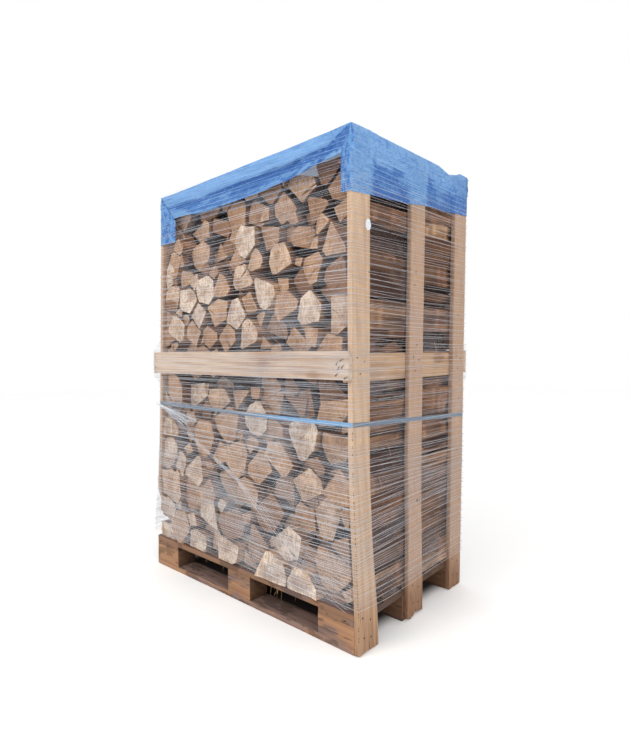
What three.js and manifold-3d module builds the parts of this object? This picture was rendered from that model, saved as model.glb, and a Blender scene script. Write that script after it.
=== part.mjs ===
// A pallet crate of split firewood, in millimetres, +Z up.
// The origin is on the floor, under the middle of the pallet. +X runs along the pallet's long side,
// and the log ends face -Y and +Y. Two rows of split logs stand on a four-way pallet between six
// posts, held by a rail on each side, a tensioned band, a plastic top sheet and a wrapped net.
import * as THREE from "three";
import { mergeVertices } from "three/addons/utils/BufferGeometryUtils.js";
import Module from "manifold-3d";

const wasm = await Module();
wasm.setup();

// Pallet
const PALLET_LENGTH = 1200;
const PALLET_WIDTH = 800;
const PALLET_BOARD = 22; // thickness of every pallet board
const WIDE_BOARD = 145; // also the length of every block
const NARROW_BOARD = 100;
const BLOCK_HEIGHT = 78;
const CROSS_Z = PALLET_BOARD + BLOCK_HEIGHT; // underside of the cross boards
const DECK_Z = CROSS_Z + PALLET_BOARD; // underside of the deck boards
const DECK_TOP = DECK_Z + PALLET_BOARD;

// Posts and rails
const POST_WIDTH = 100;
const POST_THICKNESS = 20;
const POST_HEIGHT = 1820;
const POST_LEAN = THREE.MathUtils.degToRad(2.9); // the left posts lean in over the load
const LEFT_DROP = 20; // how much lower the left posts end
const RAIL_WIDTH = 100;
const RAIL_THICKNESS = 22;
const SIDE_RAIL_Z = 1005; // middle of the rails behind the posts
const END_RAIL_Z = 1014; // middle of the rails over the log ends
const RAIL_OVERHANG = 24; // front and back rails past the left posts, at rail height

// Load
const STACK_TOP = 1768;
const STACK_HALF_DEPTH = 398;
const ROW_GAP = 16; // between the front and the back row of logs
const STACK_CLEARANCE = 2; // between the logs and the side rails

// Band, sheet and net
const BAND_WIDTH = 16;
const BAND_THICKNESS = 1.5;
const BAND_FRONT_Z = 810; // middle of the band at the front posts
const BAND_BACK_Z = 774;
const BAND_CLEARANCE = 1;
const SEAL_LENGTH = 38;
const SHEET_THICKNESS = 1.5;
const SHEET_CLEARANCE = 0.6;
const SIDE_SKIRT = 236; // how far the sheet hangs down over the posts' wide faces
const END_SKIRT = 150; // how far it hangs down over the log ends
const NET_THICKNESS = 2;
const NET_CLEARANCE = 1;
const NET_BOTTOM = 150;
const NET_TOP = 1796;

const GAP = 0.3; // left between pieces that touch across a turned group

const SIDE = PALLET_LENGTH / 2; // the pallet's right edge, where the right posts' inner faces stand
const FRONT = PALLET_WIDTH / 2;
const OUTER = SIDE + POST_THICKNESS; // the right posts' outer faces
const POST_Y = [-FRONT + POST_WIDTH / 2, 0, FRONT - POST_WIDTH / 2];
const PLACES = ["front", "middle", "back"];

const WOODS = {
  pallet: new THREE.MeshStandardMaterial({ color: 0x9c7450, roughness: 0.85, metalness: 0 }),
  board: new THREE.MeshStandardMaterial({ color: 0xd2aa7c, roughness: 0.75, metalness: 0 }),
  logs: new THREE.MeshStandardMaterial({ color: 0xb98a5c, roughness: 0.85, metalness: 0 }),
};
const PLASTICS = {
  band: new THREE.MeshStandardMaterial({ color: 0x6b9fd0, roughness: 0.4, metalness: 0 }),
  sheet: new THREE.MeshStandardMaterial({ color: 0x4f86c6, roughness: 0.35, metalness: 0 }),
  net: new THREE.MeshStandardMaterial({ color: 0xe8ebef, roughness: 0.5, metalness: 0 }),
};
const STEEL = new THREE.MeshStandardMaterial({ color: 0x9aa0a6, roughness: 0.35, metalness: 1 });

// A named box between two corners, with its place in its position.
function board(name, low, high, material) {
  const size = high.map((value, i) => value - low[i]);
  const mesh = new THREE.Mesh(new THREE.BoxGeometry(...size), material);
  mesh.position.set(...high.map((value, i) => (value + low[i]) / 2));
  mesh.name = name;
  return mesh;
}

// An outline of [x, z] points in the crate's front view, as a solid from y = near to y = far.
function frontProfile(points, near, far) {
  const outline = new THREE.Shape(points.map(([x, z]) => new THREE.Vector2(x, z)));
  const geometry = new THREE.ExtrudeGeometry(outline, { depth: far - near, bevelEnabled: false });
  return geometry.rotateX(Math.PI / 2).translate(0, far, 0);
}

function toSolid(geometry) {
  const bare = geometry.clone();
  bare.deleteAttribute("normal");
  bare.deleteAttribute("uv");
  const merged = mergeVertices(bare, 1e-3);
  return new wasm.Manifold(
    new wasm.Mesh({
      numProp: 3,
      vertProperties: merged.attributes.position.array,
      triVerts: new Uint32Array(merged.index.array),
    }),
  );
}

function toMesh(name, solid, material) {
  const { vertProperties, triVerts } = solid.getMesh();
  const geometry = new THREE.BufferGeometry();
  geometry.setAttribute("position", new THREE.BufferAttribute(vertProperties, 3));
  geometry.setIndex(new THREE.BufferAttribute(triVerts, 1));
  geometry.computeVertexNormals();
  const mesh = new THREE.Mesh(geometry, material);
  mesh.name = name;
  return mesh;
}

// How far in the left posts' inner faces stand at a height, from their foot at the deck's top.
const leanAt = (z) => (z - DECK_TOP) * Math.tan(POST_LEAN);
const leftOuter = (z) => -OUTER - GAP + leanAt(z);

// Four-way pallet: three bottom boards, nine blocks, three cross boards, five deck boards.
function pallet() {
  const group = new THREE.Group();
  const half = { front: NARROW_BOARD / 2, middle: WIDE_BOARD / 2, back: NARROW_BOARD / 2 };
  const columns = { left: -SIDE + WIDE_BOARD / 2, centre: 0, right: SIDE - WIDE_BOARD / 2 };
  const runs = { front: -FRONT + half.front, middle: 0, back: FRONT - half.back };
  for (const [run, y] of Object.entries(runs)) {
    const [near, far] = [y - half[run], y + half[run]];
    group.add(board(`bottom_board_${run}`, [-SIDE, near, 0], [SIDE, far, PALLET_BOARD], WOODS.pallet));
    for (const [column, x] of Object.entries(columns)) {
      const low = [x - WIDE_BOARD / 2, near, PALLET_BOARD];
      const high = [x + WIDE_BOARD / 2, far, CROSS_Z];
      group.add(board(`block_${run}_${column}`, low, high, WOODS.pallet));
    }
  }
  for (const [column, x] of Object.entries(columns)) {
    const low = [x - WIDE_BOARD / 2, -FRONT, CROSS_Z];
    group.add(board(`cross_board_${column}`, low, [x + WIDE_BOARD / 2, FRONT, DECK_Z], WOODS.pallet));
  }
  const widths = [WIDE_BOARD, NARROW_BOARD, WIDE_BOARD, NARROW_BOARD, WIDE_BOARD];
  const slot = (PALLET_WIDTH - widths.reduce((sum, w) => sum + w)) / (widths.length - 1);
  let near = -FRONT;
  widths.forEach((width, i) => {
    const high = [SIDE, near + width, DECK_TOP];
    group.add(board(`deck_board_${i + 1}`, [-SIDE, near, DECK_Z], high, WOODS.pallet));
    near += width + slot;
  });
  return group;
}

// The three upright right-hand posts and the rail behind them.
function rightSide() {
  const group = new THREE.Group();
  POST_Y.forEach((y, i) => {
    const low = [SIDE, y - POST_WIDTH / 2, 0];
    group.add(board(`post_right_${PLACES[i]}`, low, [OUTER, y + POST_WIDTH / 2, POST_HEIGHT], WOODS.board));
  });
  const low = [SIDE - RAIL_THICKNESS, -FRONT + GAP, SIDE_RAIL_Z - RAIL_WIDTH / 2];
  const high = [SIDE, FRONT - GAP, SIDE_RAIL_Z + RAIL_WIDTH / 2];
  group.add(board("rail_right", low, high, WOODS.board));
  return group;
}

// The left-hand posts and their rail, in a group that leans in about the deck's edge.
function leftSide() {
  const group = new THREE.Group();
  group.position.set(-SIDE - GAP, 0, DECK_TOP);
  group.rotation.y = POST_LEAN;
  POST_Y.forEach((y, i) => {
    const low = [-POST_THICKNESS, y - POST_WIDTH / 2, GAP / 2 - DECK_TOP];
    const high = [0, y + POST_WIDTH / 2, POST_HEIGHT - LEFT_DROP - DECK_TOP];
    group.add(board(`post_left_${PLACES[i]}`, low, high, WOODS.board));
  });
  const railZ = SIDE_RAIL_Z - DECK_TOP;
  const low = [GAP, -FRONT + GAP, railZ - RAIL_WIDTH / 2];
  group.add(board("rail_left", low, [RAIL_THICKNESS, FRONT - GAP, railZ + RAIL_WIDTH / 2], WOODS.board));
  return group;
}

// The rails across the log ends lie outside the posts' edges.
function endRails() {
  const left = leftOuter(END_RAIL_Z) - RAIL_OVERHANG;
  const [bottom, top] = [END_RAIL_Z - RAIL_WIDTH / 2, END_RAIL_Z + RAIL_WIDTH / 2];
  const [near, far] = [FRONT, FRONT + RAIL_THICKNESS];
  return [
    board("rail_front", [left, -far, bottom], [OUTER, -near, top], WOODS.board),
    board("rail_back", [left, near, bottom], [OUTER, far, top], WOODS.board),
  ];
}

// Each row of logs as the solid that its log ends and top logs reach.
function logRows() {
  const inset = RAIL_THICKNESS + STACK_CLEARANCE;
  const left = (z) => -SIDE + leanAt(z) + inset;
  const right = SIDE - inset;
  const outline = [
    [left(DECK_TOP), DECK_TOP],
    [right, DECK_TOP],
    [right, STACK_TOP],
    [left(STACK_TOP), STACK_TOP],
  ];
  const rows = { front: [-STACK_HALF_DEPTH, -ROW_GAP / 2], back: [ROW_GAP / 2, STACK_HALF_DEPTH] };
  return Object.entries(rows).map(([row, [near, far]]) =>
    toMesh(`log_row_${row}`, toSolid(frontProfile(outline, near, far)), WOODS.logs),
  );
}

// The band is a flat loop in a plane that falls towards the back, with its seal on the front.
function band() {
  const group = new THREE.Group();
  const middle = (BAND_FRONT_Z + BAND_BACK_Z) / 2;
  const left = leftOuter(BAND_BACK_Z - BAND_WIDTH) - BAND_CLEARANCE;
  const right = OUTER + BAND_CLEARANCE;
  const half = Math.hypot(FRONT, (BAND_FRONT_Z - BAND_BACK_Z) / 2) + BAND_CLEARANCE;
  const loop = (grow) =>
    [
      [left - grow, -half - grow],
      [right + grow, -half - grow],
      [right + grow, half + grow],
      [left - grow, half + grow],
    ].map(([x, y]) => new THREE.Vector2(x, y));
  const outline = new THREE.Shape(loop(BAND_THICKNESS));
  outline.holes.push(new THREE.Path(loop(0)));
  const strip = new THREE.ExtrudeGeometry(outline, { depth: BAND_WIDTH, bevelEnabled: false });
  const mesh = new THREE.Mesh(strip.translate(0, 0, -BAND_WIDTH / 2), PLASTICS.band);
  mesh.name = "band";
  const sealY = half + BAND_THICKNESS + GAP;
  const seal = board(
    "band_seal",
    [-SEAL_LENGTH / 2, sealY, -BAND_WIDTH / 2 - 1],
    [SEAL_LENGTH / 2, sealY + 1.2, BAND_WIDTH / 2 + 1],
    STEEL,
  );
  group.add(mesh, seal);
  group.position.z = middle;
  group.rotation.x = -Math.atan((BAND_FRONT_Z - BAND_BACK_Z) / PALLET_WIDTH);
  return group;
}

// A front-view outline this far outside the posts' outer faces, with a top that slopes with the posts' tops.
function wrapOutline(outside, bottom, top) {
  const leftTop = top - LEFT_DROP;
  return [
    [leftOuter(bottom) - outside, bottom],
    [OUTER + outside, bottom],
    [OUTER + outside, top],
    [leftOuter(leftTop) - outside, leftTop],
  ];
}

// The top sheet lies on the posts' tops, with deep skirts at the sides and shallow ones at the ends.
function topSheet() {
  const under = POST_HEIGHT + SHEET_CLEARANCE;
  const over = under + SHEET_THICKNESS;
  const outside = SHEET_CLEARANCE + SHEET_THICKNESS;
  const reach = FRONT + outside;
  const cover = (bottom) => toSolid(frontProfile(wrapOutline(outside, bottom, over), -reach, reach));
  const inner = FRONT + SHEET_CLEARANCE;
  const hollow = toSolid(
    frontProfile(wrapOutline(SHEET_CLEARANCE, POST_HEIGHT - 2 * SIDE_SKIRT, under), -inner, inner),
  );
  const below = POST_HEIGHT - 2 * SIDE_SKIRT;
  const notch = [
    [-SIDE, below],
    [SIDE, below],
    [SIDE, POST_HEIGHT - END_SKIRT],
    [-SIDE + leanAt(POST_HEIGHT), POST_HEIGHT - END_SKIRT],
  ];
  const shape = cover(POST_HEIGHT - SIDE_SKIRT)
    .subtract(hollow)
    .subtract(toSolid(frontProfile(notch, -2 * FRONT, 2 * FRONT)));
  return toMesh("top_sheet", shape, PLASTICS.sheet);
}

// The net is a sleeve round the posts, the rails and the sheet's skirts, open above and below.
// On the left it bears on the front rail's end, and follows the leaning posts above that.
function net() {
  const wrapped = NET_CLEARANCE + SHEET_CLEARANCE + SHEET_THICKNESS;
  const railEnd = leftOuter(END_RAIL_Z) - RAIL_OVERHANG;
  const low = Math.min(railEnd, leftOuter(NET_BOTTOM)) - wrapped;
  const knee = END_RAIL_Z + RAIL_WIDTH / 2 + NET_CLEARANCE;
  const high = leftOuter(NET_TOP) - wrapped;
  const sleeve = (grow, past) => {
    const right = OUTER + wrapped + grow;
    const outline = [
      [low - grow, NET_BOTTOM - past],
      [right, NET_BOTTOM - past],
      [right, NET_TOP + past],
      [high - grow, NET_TOP + past],
      [high - grow, NET_TOP],
      [low - grow, knee],
    ];
    const reach = FRONT + RAIL_THICKNESS + NET_CLEARANCE + grow;
    return toSolid(frontProfile(past ? outline : outline.toSpliced(4, 1), -reach, reach));
  };
  return toMesh("net_wrap", sleeve(NET_THICKNESS, 0).subtract(sleeve(0, DECK_TOP)), PLASTICS.net);
}

const crate = new THREE.Group();
crate.add(pallet(), rightSide(), leftSide(), ...endRails(), ...logRows(), band(), topSheet(), net());

export default crate;
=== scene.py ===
"""Looks of a palletised firewood crate: sawn timber, split logs, band, film sheet and wrapped net."""

import math
import random

import bmesh
import bpy
from mathutils import Matrix, Vector, noise


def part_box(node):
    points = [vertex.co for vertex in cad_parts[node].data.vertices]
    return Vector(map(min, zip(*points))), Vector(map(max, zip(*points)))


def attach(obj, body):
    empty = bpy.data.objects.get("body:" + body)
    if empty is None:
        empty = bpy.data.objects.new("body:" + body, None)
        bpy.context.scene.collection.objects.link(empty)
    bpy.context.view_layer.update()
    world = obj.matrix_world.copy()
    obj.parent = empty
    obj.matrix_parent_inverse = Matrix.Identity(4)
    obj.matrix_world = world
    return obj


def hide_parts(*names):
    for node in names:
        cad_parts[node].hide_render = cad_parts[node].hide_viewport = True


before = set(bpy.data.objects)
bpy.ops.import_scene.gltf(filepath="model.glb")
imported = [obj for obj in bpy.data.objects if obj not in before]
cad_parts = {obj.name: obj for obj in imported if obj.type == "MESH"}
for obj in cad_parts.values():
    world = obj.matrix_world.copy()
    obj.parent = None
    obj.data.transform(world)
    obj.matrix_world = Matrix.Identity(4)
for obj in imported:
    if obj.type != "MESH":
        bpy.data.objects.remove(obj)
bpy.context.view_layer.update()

bl_info = {
    "name": "Palletised Firewood",
    "version": (1, 0, 0),
    "blender": (4, 5, 0),
    "location": "3D View > Sidebar > Firewood",
    "description": "Builds the timber, logs, band, sheet, net and studio of a firewood crate",
    "category": "Add Mesh",
}

# Places taken from the frame, in metres
DECK_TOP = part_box("deck_board_1")[1][2]
POST_LOW, POST_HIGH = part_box("post_right_front")
POST_IN, POST_OUT, POST_TOP = POST_LOW[0], POST_HIGH[0], POST_HIGH[2]
POST_THICK = POST_OUT - POST_IN
POST_WIDTH = POST_HIGH[1] - POST_LOW[1]
EDGE_Y = -POST_LOW[1]  # the posts' outer edges, and the pallet's
RAIL_LOW, RAIL_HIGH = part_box("rail_front")
RAIL_THICK = RAIL_HIGH[1] - RAIL_LOW[1]
RAIL_Z = (RAIL_LOW[2] + RAIL_HIGH[2]) / 2
RAIL_HALF = (RAIL_HIGH[2] - RAIL_LOW[2]) / 2
SIDE_RAIL_Z = (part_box("rail_right")[0][2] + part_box("rail_right")[1][2]) / 2
LEFT_LOW, LEFT_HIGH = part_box("post_left_front")
ROW_LOW, ROW_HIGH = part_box("log_row_front")
NET_LOW, NET_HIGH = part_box("net_wrap")
BAND_LOW, BAND_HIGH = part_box("band")
LEAN = (LEFT_HIGH[0] - LEFT_LOW[0] - POST_THICK) / (LEFT_HIGH[2] - LEFT_LOW[2])

TIMBER_NODES = [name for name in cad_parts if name.startswith(("post", "rail"))]
PALLET_NODES = [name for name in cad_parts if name.startswith(("bottom", "block", "cross", "deck"))]


def left_outer(z):
    """X of the leaning left posts' outer faces at a height."""
    return LEFT_LOW[0] + LEAN * (z - LEFT_LOW[2])


def along_line(points, value):
    """Height of a line through (place, height) points."""
    for (a, low), (b, high) in zip(points, points[1:]):
        if value <= b:
            return low + (high - low) * max(value - a, 0) / (b - a)
    return points[-1][1]


def ramp(value, low, high):
    """0 at low, 1 at high, straight between them."""
    return min(max((value - low) / (high - low), 0.0), 1.0)


def smooth(value, low, high):
    """0 at low, 1 at high, eased between them."""
    t = ramp(value, low, high)
    return t * t * (3 - 2 * t)


def hump(value, middle, half, fade):
    """1 within half of the middle, easing to 0 over the fade beyond it."""
    return 1 - smooth(abs(value - middle), half, half + fade)


def rough_at(x, y, z):
    """A smooth random height at a point, between -1 and 1, that is the same each run."""
    return noise.noise((x, y, z))


def wobble(point):
    """A smooth random offset at a point, that is the same each run."""
    x, y, z = point
    samples = ((0, 0, 0), (31.7, 5.3, 12.9), (7.1, 47.3, 28.6))  # far enough apart to be unlike
    return Vector([rough_at(x + dx, y + dy, z + dz) for dx, dy, dz in samples])


def settle(point):
    """Where a point of the square crate stands once the feet splay and the right side leans back."""
    x, y, z = point
    foot = 1 - smooth(z, 0.0, 0.75)
    near = 1 - smooth(y, -0.35, 0.35)
    x += foot * (0.026 * near * smooth(x, 0.5, 0.6) - 0.034 * smooth(-x, 0.5, 0.6))
    y += (0.042 * z / POST_TOP - 0.014) * smooth(y, -0.4, -0.05) * smooth(x, -0.2, 0.6)
    return Vector((x, y, z))


def paint(code, alpha=1.0):
    """A linear colour from a six-digit screen colour."""
    parts = [int(code[i : i + 2], 16) / 255 for i in (0, 2, 4)]
    linear = [c / 12.92 if c <= 0.04045 else ((c + 0.055) / 1.055) ** 2.4 for c in parts]
    return (*linear, alpha)


# Sizes and colours that a user would change


def metres(name, description, default):
    return bpy.props.FloatProperty(name=name, description=description, default=default, unit="LENGTH")


def colour(name, description, code):
    return bpy.props.FloatVectorProperty(
        name=name, description=description, default=paint(code), size=4, subtype="COLOR", min=0, max=1
    )


class TimberSettings(bpy.types.PropertyGroup):
    arris: metres("Arris", "Bevel along the sawn edges", 0.0018)
    roughness: metres("Saw roughness", "How far the sawn faces wander", 0.0008)
    fresh: colour("Fresh wood", "Pale sawn softwood of the near post", "cdb196")
    grain: colour("Grain", "Late wood streaks and knots", "b5926f")
    weathered: colour("Weathered wood", "Brown of the posts' feet", "8a6244")
    pallet: colour("Pallet wood", "Older wood of the pallet", "a67c5a")
    grime: colour("Grime", "Greyish dirt on the pallet's upper faces", "7b6864")


class LogSettings(bpy.types.PropertyGroup):
    largest: metres("Largest log", "Half the width of the thickest split log", 0.072)
    smallest: metres("Smallest log", "Half the width of the thinnest split log", 0.025)
    joint: metres("Joint", "Widest gap between split faces that lie together", 0.0055)
    stagger: metres("Stagger", "How far log ends stand back from the front of the stack", 0.06)
    seed: bpy.props.IntProperty(name="Seed", description="Another stack of logs", default=11)
    pale: colour("Pale end", "Freshly sawn log ends", "e8d6c4")
    tan: colour("Tan end", "Dried log ends", "c29c7a")
    brown: colour("Brown end", "Dark heartwood", "7e5940")
    bark: colour("Bark", "Bark left on the round side", "5a4434")


class WrapSettings(bpy.types.PropertyGroup):
    strand: metres("Strand", "Radius of the net's long strands", 0.00055)
    thread: metres("Thread", "Radius of the loose threads in the gathered edge", 0.0005)
    clearance: metres("Clearance", "How far the net stands off the posts", 0.0042)
    net: colour("Net", "White polyethylene yarn", "cdd0d6")
    film: colour("Film", "Blue stretch film", "78b2ea")
    # This deeper blue also paints the shade in the groove over the log ends
    film_dark: colour("Film fold and shade", "Deeper blue where film lies double", "1f5fa8")
    film_alpha: bpy.props.FloatProperty(
        name="Film opacity",
        description="Opacity of one face of the film",
        default=0.5,
        min=0,
        max=1,
        subtype="FACTOR",
    )
    band: colour("Band", "Blue strapping", "6a9fca")


# Meshes


def every_part(bm):
    return bm.verts[:] + bm.edges[:] + bm.faces[:]


def cut(bm, point, direction, keep_inside=False):
    """Slices a mesh with a plane, and with keep_inside drops what is past it."""
    bmesh.ops.bisect_plane(
        bm, geom=every_part(bm), plane_co=point, plane_no=direction, clear_outer=keep_inside
    )


def only(kind, geometry):
    return [part for part in geometry if isinstance(part, kind)]


def add_piece(name, bm, materials, stands_for=(), crease=None):
    """A finished mesh piece at the origin, riding on the crate."""
    for vert in bm.verts:
        vert.co = settle(vert.co)
    mesh = bpy.data.meshes.new(name)
    bm.to_mesh(mesh)
    bm.free()
    for material in materials:
        mesh.materials.append(material)
    mesh.polygons.foreach_set("use_smooth", [crease is not None] * len(mesh.polygons))
    if crease is not None:
        mesh.set_sharp_from_angle(angle=math.radians(crease))
    piece = bpy.data.objects.new(name, mesh)
    bpy.context.scene.collection.objects.link(piece)
    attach(piece, "root")
    if stands_for:
        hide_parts(*stands_for)
    return piece


def curves_to_bmesh(paths, radius, cyclic=False):
    """Thin tubes along paths of points, as one mesh. A path may carry its own radius factor per point."""
    curve = bpy.data.curves.new("paths", "CURVE")
    curve.dimensions = "3D"
    curve.bevel_depth = radius
    curve.bevel_resolution = 0
    curve.use_fill_caps = True
    for points in paths:
        spline = curve.splines.new("POLY")
        spline.points.add(len(points) - 1)
        for place, point in zip(spline.points, points):
            place.co = (point[0], point[1], point[2], 1)
            place.radius = point[3] if len(point) > 3 else 1.0
        spline.use_cyclic_u = cyclic
    holder = bpy.data.objects.new("paths", curve)
    bpy.context.scene.collection.objects.link(holder)
    bpy.context.view_layer.update()
    mesh = bpy.data.meshes.new_from_object(holder.evaluated_get(bpy.context.evaluated_depsgraph_get()))
    bm = bmesh.new()
    bm.from_mesh(mesh)
    bpy.data.objects.remove(holder)
    bpy.data.curves.remove(curve)
    bpy.data.meshes.remove(mesh)
    return bm


# Node trees


class Graph:
    """Adds nodes to one tree and joins them."""

    def __init__(self, tree):
        self.tree = tree

    def add(self, kind, inputs=None, **settings):
        node = self.tree.nodes.new("ShaderNode" + kind)
        for name, value in settings.items():
            setattr(node, name, value)
        for name, value in (inputs or {}).items():
            self.put(node.inputs[name], value)
        return node

    def put(self, socket, value):
        if isinstance(value, bpy.types.NodeSocket):
            self.tree.links.new(value, socket)
        else:
            socket.default_value = value

    def math(self, operation, a, b=0.0, clamp=False):
        node = self.add("Math", operation=operation, use_clamp=clamp)
        self.put(node.inputs[0], a)
        self.put(node.inputs[1], b)
        return node.outputs[0]

    def times(self, a, b, clamp=False):
        return self.math("MULTIPLY", a, b, clamp)

    def plus(self, a, b, clamp=False):
        return self.math("ADD", a, b, clamp)

    def minus(self, a, b):
        return self.math("SUBTRACT", a, b)

    def absolute(self, a):
        return self.math("ABSOLUTE", a)

    def place(self):
        """The point on the piece, in the crate's own metres."""
        return self.add("TexCoord").outputs["Object"]

    def shifted(self, vector, drift, amount):
        """A vector moved aside by a drift, as far as the amount."""
        node = self.add("VectorMath", operation="MULTIPLY_ADD")
        for socket, value in zip(node.inputs, (drift, amount, vector)):
            self.put(socket, value)
        return node.outputs[0]

    def noise(self, vector, scale, detail=4.0, roughness=0.55, output="Fac"):
        values = {"Vector": vector, "Scale": scale, "Detail": detail, "Roughness": roughness}
        return self.add("TexNoise", values).outputs[output]

    def stretch(self, vector, scale, turn=(0, 0, 0), shift=(0, 0, 0)):
        values = {"Vector": vector, "Scale": scale, "Rotation": turn, "Location": shift}
        return self.add("Mapping", values).outputs[0]

    def ease(self, value, low, high, to_low=0.0, to_high=1.0):
        values = {"Value": value, "From Min": low, "From Max": high, "To Min": to_low, "To Max": to_high}
        return self.add("MapRange", values, interpolation_type="SMOOTHSTEP").outputs[0]

    def mix(self, factor, a, b, blend="MIX"):
        node = self.add("Mix", data_type="RGBA", blend_type=blend)
        self.put(node.inputs[0], factor)
        self.put(node.inputs[6], a)
        self.put(node.inputs[7], b)
        return node.outputs[2]

    def parts(self, vector):
        return self.add("SeparateXYZ", {"Vector": vector}).outputs

    def vector(self, x, y, z):
        return self.add("CombineXYZ", {"X": x, "Y": y, "Z": z}).outputs[0]


def node_group(name, inputs, outputs, build):
    """A shader node group, built the first time that it is asked for."""
    if name in bpy.data.node_groups:
        return bpy.data.node_groups[name]
    tree = bpy.data.node_groups.new(name, "ShaderNodeTree")
    for label, (kind, default) in inputs.items():
        socket = tree.interface.new_socket(label, in_out="INPUT", socket_type="NodeSocket" + kind)
        if default is not None:
            socket.default_value = default
    for label, kind in outputs.items():
        tree.interface.new_socket(label, in_out="OUTPUT", socket_type="NodeSocket" + kind)
    inside = tree.nodes.new("NodeGroupInput").outputs
    result = build(Graph(tree), inside)
    outlet = tree.nodes.new("NodeGroupOutput").inputs
    for label, socket in result.items():
        tree.links.new(socket, outlet[label])
    return tree


def place_group(graph, group, values):
    node = graph.tree.nodes.new("ShaderNodeGroup")
    node.node_tree = group
    for name, value in values.items():
        graph.put(node.inputs[name], value)
    return node.outputs


def surface(name, roughness, specular=0.3):
    """A new material, with its graph and its shader."""
    material = bpy.data.materials.new(name)
    material.use_nodes = True
    shader = material.node_tree.nodes["Principled BSDF"]
    shader.inputs["Roughness"].default_value = roughness
    shader.inputs["Specular IOR Level"].default_value = specular
    return material, Graph(material.node_tree), shader


def relief(graph, shader, height, distance, strength=1.0):
    bump = graph.add("Bump", {"Height": height, "Distance": distance, "Strength": strength})
    graph.put(shader.inputs["Normal"], bump.outputs[0])


def sawn_timber_group():
    """Streaked softwood with knots, weathering towards a foot, with painted shade on its sideways faces and
    on inner faces turned to the front. Its grain runs along the vector's Z.
    """

    def build(graph, given):
        along = given["Grain"]
        wander = graph.noise(graph.stretch(along, (3, 3, 0.9)), 2.0, 2.0)
        wide = graph.noise(graph.stretch(along, (26, 26, 0.9)), 1.6, 3.0)
        wave = {"Scale": 17.0, "Distortion": 7.0, "Detail": 3.0, "Detail Scale": 1.2}
        wave["Vector"] = graph.stretch(along, (1, 1, 0.045))
        rings = graph.add("TexWave", wave, bands_direction="DIAGONAL").outputs["Fac"]
        fibre = graph.noise(graph.stretch(along, (420, 420, 9)), 1.0, 3.0)
        spots = graph.stretch(along, (4.6, 4.6, 2.1))
        cells = graph.add("TexVoronoi", {"Vector": spots, "Scale": 1.0}).outputs["Distance"]
        knot = graph.ease(cells, 0.13, 0.055)
        halo = graph.ease(cells, 0.3, 0.08)
        streak = graph.plus(graph.times(wide, 0.55), graph.times(rings, 0.35))
        streak = graph.plus(streak, graph.times(halo, 0.25))
        base = graph.mix(graph.ease(streak, 0.3, 0.95), given["Fresh"], given["Late"])
        base = graph.mix(graph.ease(wander, 0.35, 0.75, 0.0, 0.35), base, given["Late"])
        base = graph.mix(graph.ease(fibre, 0.35, 0.7, 0.0, 0.22), base, given["Aged"])
        base = graph.mix(graph.times(knot, 0.75), base, given["Aged"])
        stain = graph.noise(graph.stretch(along, (9, 9, 2.2)), 1.0, 5.0)
        _, across, height = graph.parts(given["Place"])
        rise = graph.minus(height, graph.times(graph.minus(stain, 0.5), 0.22))
        foot = graph.ease(rise, graph.times(given["Foot"], 1.25), graph.times(given["Foot"], 0.3))
        facing = graph.parts(graph.add("NewGeometry").outputs["Normal"])
        upward = graph.times(graph.ease(facing[2], 0.4, 0.8), graph.ease(stain, 0.3, 0.45))
        # Painted shade: faces turned sideways, and faces turned to the front that stand back from the
        # pallet's front, darken towards the dark crack colour, scaled by the same input as the dirt
        inside = graph.times(graph.ease(facing[1], -0.4, -0.8), graph.ease(across, -0.36, -0.33))
        painted_shade = graph.math("MAXIMUM", graph.ease(graph.absolute(facing[0]), 0.4, 0.8), inside)
        painted_shade = graph.times(painted_shade, given["Dirt and shade"])
        grime = graph.times(graph.math("MAXIMUM", graph.ease(stain, 0.55, 0.62), upward), given["Dirt and shade"])
        worn = graph.math("MAXIMUM", graph.times(foot, 0.62), grime)
        split = graph.noise(graph.stretch(along, (55, 55, 1.1)), 1.0, 2.0)
        check = graph.times(graph.ease(graph.absolute(graph.minus(split, 0.5)), 0.022, 0.0), worn)
        base = graph.mix(worn, base, given["Aged"])
        base = graph.mix(graph.times(check, 0.85), base, given["Crack and shade"])
        # the painted shade on sideways and inner faces
        base = graph.mix(graph.times(painted_shade, 0.85), base, given["Crack and shade"])
        blot = graph.noise(graph.stretch(along, (24, 24, 9)), 1.0, 5.0)
        blot = graph.times(graph.ease(blot, 0.53, 0.58, 0.0, 0.55), given["Dirt and shade"])
        base = graph.mix(blot, base, given["Crack and shade"])
        relief_height = graph.minus(graph.plus(fibre, graph.times(rings, 0.3)), check)
        return {
            "Color": base,
            "Roughness": graph.ease(fibre, 0.2, 0.8, 0.62, 0.85),
            "Height": relief_height,
        }

    inputs = {
        "Grain": ("Vector", None),
        "Place": ("Vector", None),
        "Fresh": ("Color", paint("e2bf95")),
        "Late": ("Color", paint("b07c4c")),
        "Aged": ("Color", paint("8e6440")),
        "Crack and shade": ("Color", paint("2a1a10")),
        "Foot": ("Float", 0.2),
        "Dirt and shade": ("Float", 0.0),
    }
    outputs = {"Color": "Color", "Roughness": "Float", "Height": "Float"}
    return node_group("Sawn timber", inputs, outputs, build)


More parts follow.
